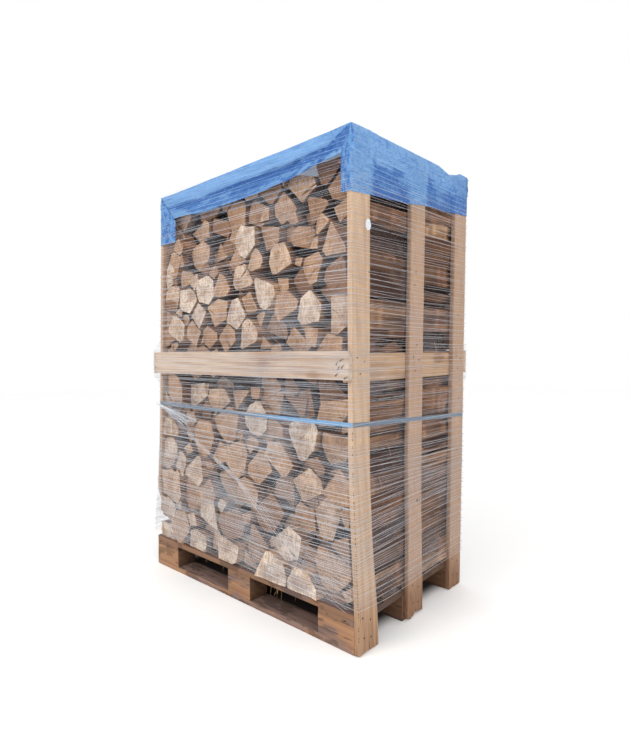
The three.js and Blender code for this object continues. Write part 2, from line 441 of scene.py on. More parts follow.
def timber_material(name, axis, fresh, late, aged, foot, dirt):
    """Sawn softwood whose grain runs along one axis of the crate."""
    material, graph, shader = surface(name, 0.75)
    place = graph.place()
    x, y, z = graph.parts(place)
    grain = {"X": (y, z, x), "Y": (x, z, y), "Z": (x, y, z)}[axis]
    values = {
        "Grain": graph.vector(*grain),
        "Place": place,
        "Fresh": fresh,
        "Late": late,
        "Aged": aged,
        "Foot": foot,
        # dirt also scales the painted shade on sideways and inner faces
        "Dirt and shade": dirt,
    }
    wood = place_group(graph, sawn_timber_group(), values)
    graph.put(shader.inputs["Base Color"], wood["Color"])
    graph.put(shader.inputs["Roughness"], wood["Roughness"])
    relief(graph, shader, wood["Height"], 0.0011, 0.8)
    return material


def log_tint(graph, given):
    """Heartwood to sapwood colours for one log, from its tint."""
    low = graph.mix(graph.ease(given["Tint"], 0.0, 0.42), given["Brown"], given["Tan"])
    return graph.mix(graph.ease(given["Tint"], 0.5, 0.95), low, given["Pale"])


LOG_INPUTS = {
    "Grain": ("Vector", None),
    "Tint": ("Float", 0.5),
    "Brown": ("Color", paint("8a5a38")),
    "Tan": ("Color", paint("c59767")),
    "Pale": ("Color", paint("ecd6bb")),
}
WOOD_OUTPUTS = {"Color": "Color", "Height": "Float"}


def log_end_group():
    """Sawn end grain: rings and rays about the pith, drying checks and saw lines."""

    def build(graph, given):
        x, _, z = graph.parts(given["Grain"])
        flat = graph.vector(x, 0.0, z)
        radius = graph.add("VectorMath", {"Vector": flat}, operation="LENGTH").outputs["Value"]
        seed = graph.times(given["Tint"], 57.0)
        sway = graph.noise(flat, 22.0, 3.0)
        turns = graph.plus(graph.times(radius, 1500.0), graph.times(sway, 16.0))
        rings = graph.plus(graph.times(graph.math("SINE", turns), 0.5), 0.5)
        angle = graph.math("ARCTAN2", z, x)
        spoke = graph.noise(graph.vector(angle, seed, 0.0), 4.5, 1.0)
        check = graph.ease(graph.absolute(graph.minus(spoke, 0.5)), 0.012, 0.002)
        reach = graph.ease(graph.noise(graph.vector(radius, seed, angle), 18.0, 1.0), 0.46, 0.56)
        check = graph.times(check, reach)
        ray = graph.noise(graph.vector(graph.times(angle, 34.0), graph.times(radius, 30.0), seed), 1.0, 2.0)
        saw = graph.noise(graph.stretch(given["Grain"], (30, 1, 520), (0, 0.6, 0)), 1.0, 2.0)
        patch = graph.noise(given["Grain"], 13.0, 5.0)
        body = log_tint(graph, given)
        heart = graph.ease(graph.plus(radius, graph.times(sway, 0.03)), 0.07, 0.035)
        body = graph.mix(graph.times(heart, 0.28), body, given["Brown"])
        tear = graph.noise(graph.stretch(given["Grain"], (150, 60, 46), (0, 0.8, 0)), 1.0, 4.0, 0.65)
        body = graph.mix(graph.ease(patch, 0.46, 0.6, 0.0, 0.45), body, given["Brown"])
        body = graph.mix(graph.ease(tear, 0.47, 0.6, 0.0, 0.55), body, given["Brown"])
        body = graph.mix(graph.times(rings, 0.2), body, given["Brown"])
        body = graph.mix(graph.ease(ray, 0.4, 0.75, 0.0, 0.2), body, given["Pale"])
        body = graph.mix(graph.ease(saw, 0.48, 0.62, 0.0, 0.32), body, given["Brown"])
        body = graph.mix(graph.times(check, 0.8), body, paint("2b180e"))
        lines = graph.plus(graph.times(rings, 0.25), graph.times(saw, 0.7))
        return {"Color": body, "Height": graph.minus(lines, graph.times(check, 1.5))}

    return node_group("Log end", LOG_INPUTS, WOOD_OUTPUTS, build)


def split_side_group():
    """Torn fibres along a split face."""

    def build(graph, given):
        shreds = graph.noise(graph.stretch(given["Grain"], (95, 4.5, 95)), 1.0, 5.0, 0.65)
        bands = graph.noise(graph.stretch(given["Grain"], (26, 2.2, 26)), 1.0, 3.0)
        patch = graph.noise(given["Grain"], 8.0, 4.0)
        body = log_tint(graph, given)
        body = graph.mix(graph.ease(bands, 0.42, 0.62, 0.0, 0.7), body, given["Brown"])
        body = graph.mix(graph.ease(shreds, 0.46, 0.64, 0.0, 0.75), body, given["Brown"])
        body = graph.mix(graph.ease(patch, 0.5, 0.75, 0.0, 0.35), body, given["Pale"])
        return {"Color": body, "Height": graph.plus(shreds, graph.times(bands, 1.4))}

    return node_group("Split side", LOG_INPUTS, WOOD_OUTPUTS, build)


def bark_group():
    """Ridged bark with dark furrows along the log."""

    def build(graph, given):
        drift = graph.noise(given["Grain"], 16.0, 3.0, output="Color")
        plates = graph.stretch(graph.shifted(given["Grain"], drift, (0.03, 0.03, 0.03)), (70, 22, 70))
        ridge = graph.add("TexVoronoi", {"Vector": plates, "Scale": 1.0}, feature="DISTANCE_TO_EDGE")
        plate = graph.ease(ridge.outputs["Distance"], 0.02, 0.3)
        fine = graph.noise(graph.stretch(given["Grain"], (160, 60, 160)), 1.0, 4.0)
        patch = graph.noise(given["Grain"], 9.0, 3.0)
        body = graph.mix(plate, paint("241810"), given["Brown"])
        body = graph.mix(graph.ease(fine, 0.35, 0.75, 0.0, 0.5), body, given["Tan"])
        body = graph.mix(graph.ease(patch, 0.55, 0.72, 0.0, 0.5), body, given["Pale"])
        return {"Color": body, "Height": graph.plus(plate, graph.times(fine, 0.4))}

    return node_group("Bark", LOG_INPUTS, WOOD_OUTPUTS, build)


def log_material(name, group, tones, roughness, depth):
    """One face kind of the logs, following each log's own grain and tint, in tones from dark to light."""
    material, graph, shader = surface(name, roughness, 0.2)
    values = {
        "Grain": graph.add("Attribute", attribute_name="grain").outputs["Vector"],
        "Tint": graph.add("Attribute", attribute_name="tint").outputs["Fac"],
        **dict(zip(("Brown", "Tan", "Pale"), tones)),
    }
    wood = place_group(graph, group, values)
    graph.put(shader.inputs["Base Color"], wood["Color"])
    relief(graph, shader, wood["Height"], depth)
    return material


def crinkle_group():
    """Film creases: a height, a fold mask and a light rub along the creases."""

    def build(graph, given):
        drift = graph.noise(given["Place"], 9.0, 3.0, output="Color")
        moved = graph.shifted(given["Place"], drift, (0.09, 0.09, 0.05))
        cells = graph.stretch(moved, (26, 26, 60))
        crease = graph.add("TexVoronoi", {"Vector": cells, "Scale": 1.0}, feature="F1").outputs["Distance"]
        ripple = graph.noise(graph.stretch(moved, (10, 10, 75)), 1.0, 4.0)
        fine = graph.noise(graph.stretch(given["Place"], (60, 60, 150)), 1.0, 5.0, 0.6)
        fold = graph.ease(ripple, 0.42, 0.68)
        height = graph.plus(graph.times(crease, 0.8), graph.times(ripple, 2.2))
        height = graph.plus(height, graph.times(fine, 0.7))
        return {"Height": height, "Fold": fold, "Rub": graph.ease(fine, 0.52, 0.7)}

    outputs = {"Height": "Float", "Fold": "Float", "Rub": "Float"}
    return node_group("Film creases", {"Place": ("Vector", None)}, outputs, build)


def film_material(wrap):
    """Blue see-through film, deeper in colour where it folds, and where painted shade darkens the groove over
    the log ends.
    """
    material, graph, shader = surface("Blue film", 0.32, 0.5)
    place = graph.place()
    creases = place_group(graph, crinkle_group(), {"Place": place})
    fold_and_shade = graph.add("Attribute", attribute_name="fold_and_shade").outputs["Fac"]
    crackle = graph.noise(graph.stretch(place, (95, 70, 60), (0, 0.5, 0)), 1.0, 3.0)
    ends = graph.absolute(graph.minus(graph.parts(place)[0], 0.03))
    crackle = graph.times(graph.ease(crackle, 0.52, 0.57), graph.ease(ends, 0.42, 0.55, 0.05, 0.4))
    # double adds the crease folds and crackle to the sheet's folds and its painted groove shade
    double = graph.plus(graph.times(creases["Fold"], 0.3), fold_and_shade)
    double = graph.plus(double, crackle, clamp=True)
    tone = graph.mix(double, tuple(wrap.film), tuple(wrap.film_dark))
    tone = graph.mix(graph.times(creases["Rub"], 0.35), tone, paint("9cc6f2"))
    graph.put(shader.inputs["Base Color"], tone)
    opacity = graph.ease(double, 0.0, 1.0, wrap.film_alpha, min(wrap.film_alpha + 0.3, 1.0))
    graph.put(shader.inputs["Alpha"], opacity)
    graph.put(shader.inputs["Roughness"], graph.ease(creases["Fold"], 0.0, 1.0, 0.28, 0.45))
    relief(graph, shader, creases["Height"], 0.004, 0.9)
    return material


def yarn_material(wrap):
    """White net yarn, a little dusty in places, with painted shade on the crate's right side and a painted
    blue cast from the film near the top.
    """
    material, graph, shader = surface("Net yarn", 0.45, 0.4)
    place = graph.place()
    dust = graph.noise(graph.stretch(place, (7, 7, 16)), 1.0, 3.0)
    tone = graph.mix(graph.ease(dust, 0.4, 0.75, 0.0, 0.5), tuple(wrap.net), paint("b9c3d0"))
    x, _, z = graph.parts(place)
    # Greyer on the right side of the crate: painted shade
    tone = graph.mix(graph.ease(x, POST_OUT - 0.02, POST_OUT, 0.0, 0.55), tone, paint("aba3a3"))
    # Bluer near the top where the net lies over the film: a painted blue cast from the film
    tone = graph.mix(graph.ease(z, 1.6, 1.72, 0.0, 0.85), tone, paint("78aee4"))
    graph.put(shader.inputs["Base Color"], tone)
    graph.put(shader.inputs["Roughness"], graph.ease(dust, 0.3, 0.7, 0.35, 0.6))
    relief(graph, shader, graph.noise(place, 900.0, 2.0), 0.0003)
    return material


def strap_material(wrap):
    """Embossed blue strapping, greyed by painted shade from the middle towards the left and on the crate's
    right side.
    """
    material, graph, shader = surface("Blue strapping", 0.4, 0.5)
    place = graph.place()
    wear = graph.noise(graph.stretch(place, (30, 30, 220)), 1.0, 4.0)
    tone = graph.mix(graph.ease(wear, 0.4, 0.7, 0.0, 0.4), tuple(wrap.band), paint("4f83b4"))
    x = graph.parts(place)[0]
    # Painted shade: the band greys from the middle towards the left, and on the right side
    strap_shade = graph.math("MAXIMUM", graph.ease(x, 0.3, 0.0), graph.ease(x, POST_OUT - 0.004, POST_OUT + 0.001))
    graph.put(shader.inputs["Base Color"], graph.mix(graph.times(strap_shade, 0.85), tone, paint("525f6c")))
    graph.put(shader.inputs["Roughness"], graph.ease(wear, 0.3, 0.7, 0.3, 0.55))
    emboss = graph.add("TexWave", {"Vector": place, "Scale": 120.0}, bands_direction="DIAGONAL")
    relief(graph, shader, emboss.outputs["Fac"], 0.0003)
    return material


def metal_material(name, clean, rust, shine):
    """Nail or seal metal with brown staining."""
    material, graph, shader = surface(name, 0.45, 0.5)
    shader.inputs["Metallic"].default_value = shine
    stain = graph.noise(graph.place(), 130.0, 4.0)
    graph.put(shader.inputs["Base Color"], graph.mix(graph.ease(stain, 0.4, 0.65), clean, rust))
    graph.put(shader.inputs["Roughness"], graph.ease(stain, 0.35, 0.7, 0.3, 0.75))
    relief(graph, shader, stain, 0.0004)
    return material


def straw_material():
    """Dry wood splinters and straw."""
    material, graph, shader = surface("Straw", 0.7)
    stripe = graph.noise(graph.place(), 60.0, 3.0)
    graph.put(shader.inputs["Base Color"], graph.mix(stripe, paint("c4a078"), paint("84603e")))
    relief(graph, shader, stripe, 0.0004)
    return material


# Timber


def board_from_node(node, arris, wander, rng):
    """A sawn board inside one CAD board: bevelled, cut into short lengths and worn out of true."""
    bm = bmesh.new()
    bm.from_mesh(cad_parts[node].data)
    bmesh.ops.remove_doubles(bm, verts=bm.verts[:], dist=1e-5)
    bmesh.ops.dissolve_limit(bm, angle_limit=0.02, verts=bm.verts[:], edges=bm.edges[:])
    sides = sorted({round(edge.calc_length(), 4): edge for edge in bm.edges}.items())
    longest = sides[-1][1]
    across = sides[-2][1] if len(sides) > 1 else longest
    along = (longest.verts[1].co - longest.verts[0].co).normalized()
    wide = (across.verts[1].co - across.verts[0].co).normalized()
    middle = sum((vert.co for vert in bm.verts), Vector()) / len(bm.verts)
    long_half, wide_half = sides[-1][0] / 2, sides[-2][0] / 2
    offset = arris * rng.uniform(0.7, 1.5)
    bmesh.ops.bevel(
        bm,
        geom=bm.edges[:],
        offset=offset,
        offset_type="OFFSET",
        segments=2,
        profile=0.5,
        affect="EDGES",
        material=-1,
    )
    slice_board(bm, middle, along, long_half, 0.05, rng)
    slice_board(bm, middle, wide, wide_half, 0.019, rng)
    shift = Vector((rng.uniform(0, 90), rng.uniform(0, 90), rng.uniform(0, 90)))
    for vert in bm.verts:
        bend = wobble(vert.co * 3 + shift) * wander
        vert.co += bend + wobble(vert.co * 34 + shift) * wander * 0.7
    return bm, middle, along, wide, wide_half


def slice_board(bm, middle, direction, half, step, rng):
    """Cuts rows of edges across a board so that it can wander and split."""
    count = int(2 * half / step)
    for k in range(1, count):
        where = -half + (k + rng.uniform(-0.25, 0.25)) * 2 * half / count
        cut(bm, middle + direction * where, direction)


def open_checks(bm, middle, wide, wide_half, face_axis, rng, count, rise, gape):
    """Drying cracks that run up from a board's foot, as grooves in both wide faces."""
    for k in range(count):
        where = (-0.62 + 1.24 * (k + rng.uniform(0.3, 0.7)) / count) * wide_half
        for side in (-1, 0, 1):
            cut(bm, middle + wide * (where + side * gape), wide)
        top = rise * rng.uniform(0.5, 1.2)
        for vert in bm.verts:
            aside = abs((vert.co - middle).dot(wide) - where)
            if aside < 0.0012 and vert.co.z < top:
                depth = (vert.co - middle).dot(face_axis)
                vert.co -= face_axis * math.copysign(0.0085 * (1 - vert.co.z / top), depth)


def fray_foot(bm, rng, pivot, spread, wear):
    """Splays the bottom of an upright board and wears its end into an uneven edge."""
    shift = rng.uniform(0, 60)
    for vert in bm.verts:
        if vert.co.z < 0.012:
            worn = rough_at(vert.co.x * 30, vert.co.y * 45, shift)
            vert.co.z = max(vert.co.z + wear * (0.5 + worn), 0.0004)
        vert.co.y += (vert.co.y - pivot) * spread * (1 - smooth(vert.co.z, 0.0, 0.42))


def build_timber(settings):
    fresh, late, aged = tuple(settings.fresh), tuple(settings.grain), tuple(settings.weathered)
    pallet, grime = tuple(settings.pallet), tuple(settings.grime)
    near_post = timber_material("Near post timber", "Z", fresh, late, aged, 0.2, 0.1)
    # The middle and back posts take a darker copy of the timber as painted shade; the near post keeps the
    # pale wood
    posts = timber_material("Post timber with painted shade", "Z", paint("b39681"), late, paint("75492c"), 0.2, 0.1)
    rails = {
        "X": timber_material("Rail timber X", "X", paint("cbb7a5"), paint("ad8f78"), aged, 0.01, 0.1),
        "Y": timber_material("Rail timber Y", "Y", paint("c9a582"), late, aged, 0.01, 0.2),
    }
    decks = {
        axis: timber_material(f"Pallet timber {axis}", axis, pallet, aged, grime, 0.004, 0.8) for axis in "XY"
    }
    # Deck and cross boards take this darker copy of the pallet timber as painted shade under the logs
    deck_shade_tone = paint("7e5f48")
    painted_shade = {
        axis: timber_material(f"Deck timber with painted shade {axis}", axis, deck_shade_tone, aged, grime, 0.004, 0.8) for axis in "XY"
    }
    for node in TIMBER_NODES + PALLET_NODES:
        rng = random.Random(node)
        bm, middle, along, wide, wide_half = board_from_node(node, settings.arris, settings.roughness, rng)
        post = node.startswith("post")
        if post:
            split_foot = node.endswith("middle")
            gape = 0.0042 if split_foot else 0.002
            open_checks(bm, middle, wide, wide_half, along.cross(wide), rng, 3, 0.16, gape)
            pivot = middle.y + (0 if split_foot else math.copysign(wide_half, middle.y))
            fray_foot(bm, rng, pivot, 0.0 if node.endswith("back") else 0.2, 0.014 if split_foot else 0.007)
        axis = "Y" if node.startswith("cross") or node in ("rail_left", "rail_right") else "X"
        if post:
            material = near_post if node == "post_right_front" else posts
        elif node.startswith("rail"):
            material = rails[axis]
        else:
            material = (painted_shade if node.startswith(("deck", "cross")) else decks)[axis]
        add_piece(f"{node}_timber", bm, [material], [node], crease=35)


# Logs

END, SIDE, BARK = 0, 1, 2  # material numbers of a log's faces
# Angles between the faces that split one log out of its round
SPLIT_TURNS = ((), (0,), (0, 3.1), (0, 2.1), (0, 1.6), (0, 1.6, 3.1), (0, 2.1, 4.2))
# Two thick logs low at the front that stand past the deck's edge: middles and half widths
OVERHANGING = [(Vector((0.218, 0.196)), 0.082), (Vector((0.384, 0.182)), 0.076)]


def scatter_logs(rng, settings, left, right, bottom, top, first=()):
    """Middles and half widths of one row's logs: the first ones as given, then thick ones before thin."""
    span = settings.largest - settings.smallest
    grown = 1.22 if bottom < RAIL_LOW[2] - 0.1 else 1.0
    sizes = [grown * (settings.smallest + span * rng.random() ** 1.1) for _ in range(300)]
    placed = list(first)
    for size in sorted(sizes, reverse=True):
        for _ in range(80):
            z = rng.uniform(bottom + size * 0.5, top - size * 0.5)
            x = rng.uniform(left(z) + size * 0.5, right(z) - size * 0.5)
            spot = Vector((x, z))
            if all((spot - other).length > 0.8 * (size + width) for other, width in placed):
                placed.append((spot, size))
                break
    return placed


def split_planes(index, placed, rng, joint):
    """The faces that part a log from its neighbours, each as a point and an outward direction."""
    spot, size = placed[index]
    planes = []
    for k, (other, width) in enumerate(placed):
        apart = other - spot
        distance = apart.length
        if k == index or distance > 0.32:
            continue
        share = (distance * distance + size * size - width * width) / (2 * distance)
        normal = apart / distance
        point = spot + normal * (share - rng.uniform(0.15, 1.0) * joint)
        turn = rng.gauss(0, 0.035)
        normal = Vector((normal.x - turn * normal.y, normal.y + turn * normal.x))
        planes.append((distance, point, normal))
    planes.sort(key=lambda plane: plane[0])
    return [(point, normal) for _, point, normal in planes]


def edge_planes(rng, left, right, bottom, top, spot):
    """The faces that keep a log inside the posts, the deck and the top of the stack."""
    lean = Vector((-1, LEAN + rng.gauss(0, 0.1))).normalized()
    tilt = rng.gauss(0, 0.13)
    return [
        (Vector((left(spot.y) + rng.uniform(0.0, 0.014), spot.y)), lean),
        (Vector((right(spot.y) - rng.uniform(0.0, 0.014), spot.y)), Vector((1, tilt)).normalized()),
        (Vector((spot.x, bottom + rng.uniform(-0.004, 0.004))), Vector((0, -1))),
        (Vector((spot.x, top - rng.uniform(0.0, 0.05))), Vector((tilt, 1)).normalized()),
    ]


def log_section(rng, spot, size, planes):
    """A log's section in the X-Z plane: a round of wood cut by its split faces. Gives its pith and radius."""
    swing = rng.uniform(0, 2 * math.pi)
    away = size * rng.uniform(0.15, 1.0)
    pith = spot + Vector((math.cos(swing), math.sin(swing))) * away
    reach = away + size * rng.uniform(1.05, 1.6)
    bm = bmesh.new()
    upright = Matrix.Translation((pith.x, 0, pith.y)) @ Matrix.Rotation(math.pi / 2, 4, "X")
    bmesh.ops.create_circle(bm, cap_ends=True, segments=26, radius=reach, matrix=upright)
    chips = []
    way = rng.uniform(0, 2 * math.pi)
    whole = (spot, size) in OVERHANGING
    for turn in () if whole else rng.choice(SPLIT_TURNS):
        normal = Vector((math.cos(way + turn), math.sin(way + turn)))
        chips.append((spot + normal * size * rng.uniform(0.42, 0.86), normal))
    for point, normal in planes + chips:
        cut(bm, (point.x, 0, point.y), (normal.x, 0, normal.y), keep_inside=True)
        if not bm.faces:
            break
    return bm, pith, reach


def grow_log(bm, y_start, length, steps):
    """Draws a section out along Y, closed at both ends."""
    long_edges = [edge for edge in bm.edges if edge.calc_length() > 0.022]
    for edge in long_edges:
        bmesh.ops.bisect_edges(bm, edges=[edge], cuts=int(edge.calc_length() / 0.016))
    bmesh.ops.translate(bm, verts=bm.verts[:], vec=(0, y_start, 0))
    face = next(iter(bm.faces))
    for _ in range(steps):
        out = bmesh.ops.extrude_face_region(bm, geom=[face])["geom"]
        bmesh.ops.translate(bm, verts=only(bmesh.types.BMVert, out), vec=(0, length / steps, 0))
        face = only(bmesh.types.BMFace, out)[0]
    bmesh.ops.recalc_face_normals(bm, faces=bm.faces[:])


def mark_faces(bm, pith, reach):
    """Sets which faces are sawn ends, split sides and bark."""
    ends = []
    for face in bm.faces:
        middle = face.calc_center_median()
        if abs(face.normal.y) > 0.9:
            face.material_index = END
            ends.append(face)
        elif Vector((middle.x - pith.x, middle.z - pith.y)).length > 0.974 * reach:
            face.material_index = BARK
        else:
            face.material_index = SIDE
    return ends


def rough_log(bm, rng, spot, pith, y_start, length, back):
    """Gives a log its grain, then its torn faces, crooked length and saw cut out of square."""
    grain = bm.verts.layers.float_vector.new("grain")
    tint = bm.verts.layers.float.new("tint")
    likely = 0.58 - 0.22 * spot.x + 0.1 * smooth(-spot.y, -0.9, -0.3)
    # A log's tint darkens the further it stands back: painted shade in the recesses of the stack. Logs that
    # stand out past the deck are pale.
    shade = 0.9 if back < 0 else min(max(rng.gauss(likely, 0.25) - back * 5, 0.02), 0.98)
    shift = rng.uniform(0, 40)
    seed = Vector((rng.uniform(0, 90), rng.uniform(0, 90), rng.uniform(0, 90)))
    slope_x, slope_z = rng.gauss(0, 0.05), rng.gauss(0, 0.05)
    turn, squeeze = rng.gauss(0, 0.04), rng.uniform(0.88, 1.0)
    for vert in bm.verts:
        x, y, z = vert.co
        vert[grain] = Vector((x - pith.x, y + shift, z - pith.y))
        vert[tint] = shade
        t = (y - y_start) / length
        out = Vector((x - spot.x, 0, z - spot.y))
        size = 1 + (squeeze - 1) * (t if turn > 0 else 1 - t)
        angle = turn * (t - 0.5)
        out = Matrix.Rotation(angle, 3, "Y") @ out * size
        tear = wobble(vert.co * 9 + seed) * 0.006 + wobble(vert.co * 48 + seed) * 0.0022
        vert.co = Vector((spot.x, y, spot.y)) + out + Vector((tear.x, tear.y * 0.25, tear.z))
        askew = 1 - 2 * t
        vert.co.y += askew * askew * askew * (slope_x * out.x + slope_z * out.z)


def log_mesh(rng, settings, index, placed, bounds, front, behind):
    """One log, with its better end towards the outside of the crate, or None if nothing of it is left."""
    left, right, bottom, top = bounds
    spot, size = placed[index]
    planes = edge_planes(rng, left, right, bottom, top, spot)
    planes += split_planes(index, placed, rng, settings.joint)
    bm, pith, reach = log_section(rng, spot, size, planes)
    if sum(face.calc_area() for face in bm.faces) < 0.0005:
        bm.free()
        return None
    near_top = 0.034 * smooth(spot.y + size, top - 0.14, top - 0.08)
    back = behind + near_top + settings.stagger * rng.random() ** 2.6
    if front and not behind and (spot, size) in OVERHANGING:
        back = -0.014
    elif spot.x * (-1 if front else 1) > 0.42:
        back = min(back, 0.008 + near_top)
    length = min(rng.uniform(0.345, 0.375), ROW_HIGH[1] - ROW_LOW[1] - back)
    y_start = ROW_LOW[1] + back if front else -ROW_LOW[1] - back - length
    grow_log(bm, y_start, length, 4 if behind else 7)
    ends = mark_faces(bm, pith, reach)
    rough_log(bm, rng, spot, pith, y_start, length, back)
    bmesh.ops.inset_individual(bm, faces=ends, thickness=0.0022, depth=0.0012)
    return bm


def add_core(name, near, far, side, bottom, top, front, material):
    """A dark box inside a row, painted shade that stops sight through the gaps between its logs."""
    bm = bmesh.new()
    bmesh.ops.create_cube(bm, size=1)
    upright = [edge for edge in bm.edges if abs(edge.verts[0].co.z - edge.verts[1].co.z) > 0.5]
    bmesh.ops.subdivide_edges(bm, edges=upright, cuts=60, use_grid_fill=True)
    for vert in bm.verts:
        z = bottom + (top - bottom) * (vert.co.z + 0.5)
        inset = side + RAIL_THICK * hump(z, SIDE_RAIL_Z, RAIL_HALF + 0.004, 0.012)
        x = left_outer(z) + POST_THICK + inset if vert.co.x < 0 else POST_IN - inset
        y = far if vert.co.y > 0 else near
        vert.co = Vector((x, y if front else -y, z))
    bmesh.ops.recalc_face_normals(bm, faces=bm.faces[:])
    row = "front" if front else "back"
    add_piece(f"logs_{row}_{name}", bm, [material], [f"log_row_{row}"])


def shade_material():
    """Near-black wood colour, painted shade for wood deep in the stack."""
    material, graph, shader = surface("Deep shade wood", 0.95, 0.1)
    streak = graph.noise(graph.stretch(graph.place(), (30, 5, 30)), 1.0, 3.0)
    graph.put(shader.inputs["Base Color"], graph.mix(streak, paint("1d120c"), paint("3d281c")))
    relief(graph, shader, streak, 0.004)
    return material


def build_logs(settings):
    sawn = tuple(settings.brown), tuple(settings.tan), tuple(settings.pale)
    torn = paint("4e3226"), paint("946a4c"), paint("bf9874")
    rind = tuple(settings.bark), paint("6d5747"), paint("84796c")
    materials = [
        log_material("Log end grain", log_end_group(), sawn, 0.8, 0.0012),
        log_material("Split log side", split_side_group(), torn, 0.85, 0.0032),
        log_material("Log bark", bark_group(), rind, 0.9, 0.004),
    ]
    dark = shade_material()
    beside_rail = lambda z: 0.002 + RAIL_THICK * hump(z, SIDE_RAIL_Z, 0.12, 0.01)
    left = lambda z: left_outer(z) + POST_THICK + beside_rail(z)
    right = lambda z: POST_IN - beside_rail(z)
    storeys = ((DECK_TOP, RAIL_LOW[2] - 0.036), (RAIL_LOW[2] + 0.004, ROW_HIGH[2]))
    tiers = 5
    tier_height = (ROW_HIGH[2] - DECK_TOP) / tiers
    for row, front in (("front", True), ("back", False)):
        stacks = [bmesh.new() for _ in range(tiers)]
        for behind in (0.0, 0.055):
            rng = random.Random(f"{settings.seed} {row} {behind}")
            for storey in [(DECK_TOP, ROW_HIGH[2])] if behind else storeys:
                room = (left, right, *storey)
                first = OVERHANGING if front and not behind and storey == storeys[0] else ()
                placed = scatter_logs(rng, settings, *room, first)
                for index, (spot, _) in enumerate(placed):
                    log = log_mesh(rng, settings, index, placed, room, front, behind)
                    if log is None:
                        continue
                    scratch = bpy.data.meshes.new("log")
                    log.to_mesh(scratch)
                    log.free()
                    stacks[min(int((spot.y - DECK_TOP) / tier_height), tiers - 1)].from_mesh(scratch)
                    bpy.data.meshes.remove(scratch)
        for tier, stack in enumerate(stacks):
            name = f"logs_{row}_tier_{tier + 1}"
            add_piece(name, stack, materials, [f"log_row_{row}"], crease=38)
        add_core("shade_core", ROW_LOW[1] + 0.085, -0.025, 0.03, DECK_TOP + 0.03, ROW_HIGH[2] - 0.08, front, dark)
        add_core("shade_wall", -0.02, -0.006, 0.002, DECK_TOP + 0.004, ROW_HIGH[2] - 0.04, front, dark)


# Band, sheet and net


def wrap_points(z_at, gap, rails, front_count=34, side_count=22):
    """Points of a loop round the crate. z_at gives its height at places 0 to 4, corner to corner."""
    points = []
    for face, count in enumerate((front_count, side_count, front_count, side_count)):
        for k in range(count):
            t = min(max(k / (count - 1), 0.004), 0.996)
            height = z_at(face + t)
            rail = rails * hump(height, RAIL_Z, RAIL_HALF + 0.004, 0.055)
            left = left_outer(height) - gap - (left_outer(RAIL_Z) - RAIL_LOW[0]) * rail
            loose = 0.006 * rails * hump(height, 0.22, 0.04, 0.08)
            right = POST_OUT + gap
            edge = EDGE_Y + gap + RAIL_THICK * rail
            corners = [(left - loose, -edge), (right, -edge), (right, edge), (left, edge)]
            (x0, y0), (x1, y1) = corners[face], corners[(face + 1) % 4]
            x, y = x0 + (x1 - x0) * t, y0 + (y1 - y0) * t
            if face == 0:
                y -= 0.013 * rails * hump(x, 0.3, 0.14, 0.12) * (1 - smooth(height, 0.24, 0.36))
            points.append(Vector((x, y, height)))
    return points


def build_band(wrap):
    """A flat band round the posts, low at the back, and its crimped seal."""
    middle, half = (BAND_LOW[2] + BAND_HIGH[2]) / 2, 0.0078
    front_z, back_z = BAND_HIGH[2] - 0.009, BAND_LOW[2] + 0.009

    def height(place):
        ends = [front_z + 0.006, front_z, back_z, back_z - 0.002, front_z + 0.006]
        face = min(int(place), 3)
        sag = -0.004 * math.sin(math.pi * (place - face)) if face in (0, 2) else 0
        return ends[face] + (ends[face + 1] - ends[face]) * (place - face) + sag

    bm = bmesh.new()
    loop = [bm.verts.new(point - Vector((0, 0, half))) for point in wrap_points(height, 0.0009, 0, 30, 16)]
    edges = [bm.edges.new((loop[k], loop[(k + 1) % len(loop)])) for k in range(len(loop))]
    out = bmesh.ops.extrude_edge_only(bm, edges=edges)["geom"]
    bmesh.ops.translate(bm, verts=only(bmesh.types.BMVert, out), vec=(0, 0, 2 * half))
    bmesh.ops.recalc_face_normals(bm, faces=bm.faces[:])
    bmesh.ops.solidify(bm, geom=bm.faces[:], thickness=0.0009)
    add_piece("band_strap", bm, [strap_material(wrap)], ["band"], crease=40)
    seal = bmesh.new()
    low, high = (Vector(corner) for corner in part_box("band_seal"))
    place = Matrix.Translation((low + high) / 2) @ Matrix.Diagonal((*(high - low), 1))
    bmesh.ops.create_cube(seal, size=1, matrix=place)
    for k in range(1, 12):
        cut(seal, low.lerp(high, k / 12), (1, 0, 0))
    for vert in seal.verts:
        pinch = abs(math.sin((vert.co.x - low.x) / (high.x - low.x) * 3 * math.pi))
        if vert.co.z > (low.z + high.z) / 2 - 0.0001 or vert.co.z < (low.z + high.z) / 2:
            vert.co.z += (0.0016 * (1 - pinch)) * (1 if vert.co.z < middle else -1)
    zinc = metal_material("Seal steel", paint("a9adb2"), paint("7d7468"), 1.0)
    add_piece("band_crimp", seal, [zinc], ["band_seal"], crease=40)


SKIRT_GAP = 0.0012
HEM_LINE = ((-EDGE_Y, 0.224), (-0.28, 0.212), (-0.04, 0.192), (0.09, 0.177), (EDGE_Y, 0.16))
RIM_LINE = (
    *((-EDGE_Y, 0.003), (-0.3, 0.006), (-0.25, 0.003), (0.15, 0.003)),
    *((0.235, -0.014), (0.3, 0.0), (0.33, 0.012), (1.0, 0.012)),
)


def side_drop(v):
    """How far the sheet hangs down the posts' wide faces, at a place across the crate."""
    return along_line(HEM_LINE, v)


def end_drop(u):
    """How far the sheet hangs down over the log ends, at a place along the crate."""
    ragged = 0.004 * rough_at(u * 6, 3, 0)
    return 0.128 - 0.042 * smooth(u, 0.1, POST_OUT) - 0.014 * hump(u, -0.38, 0.02, 0.2) + ragged


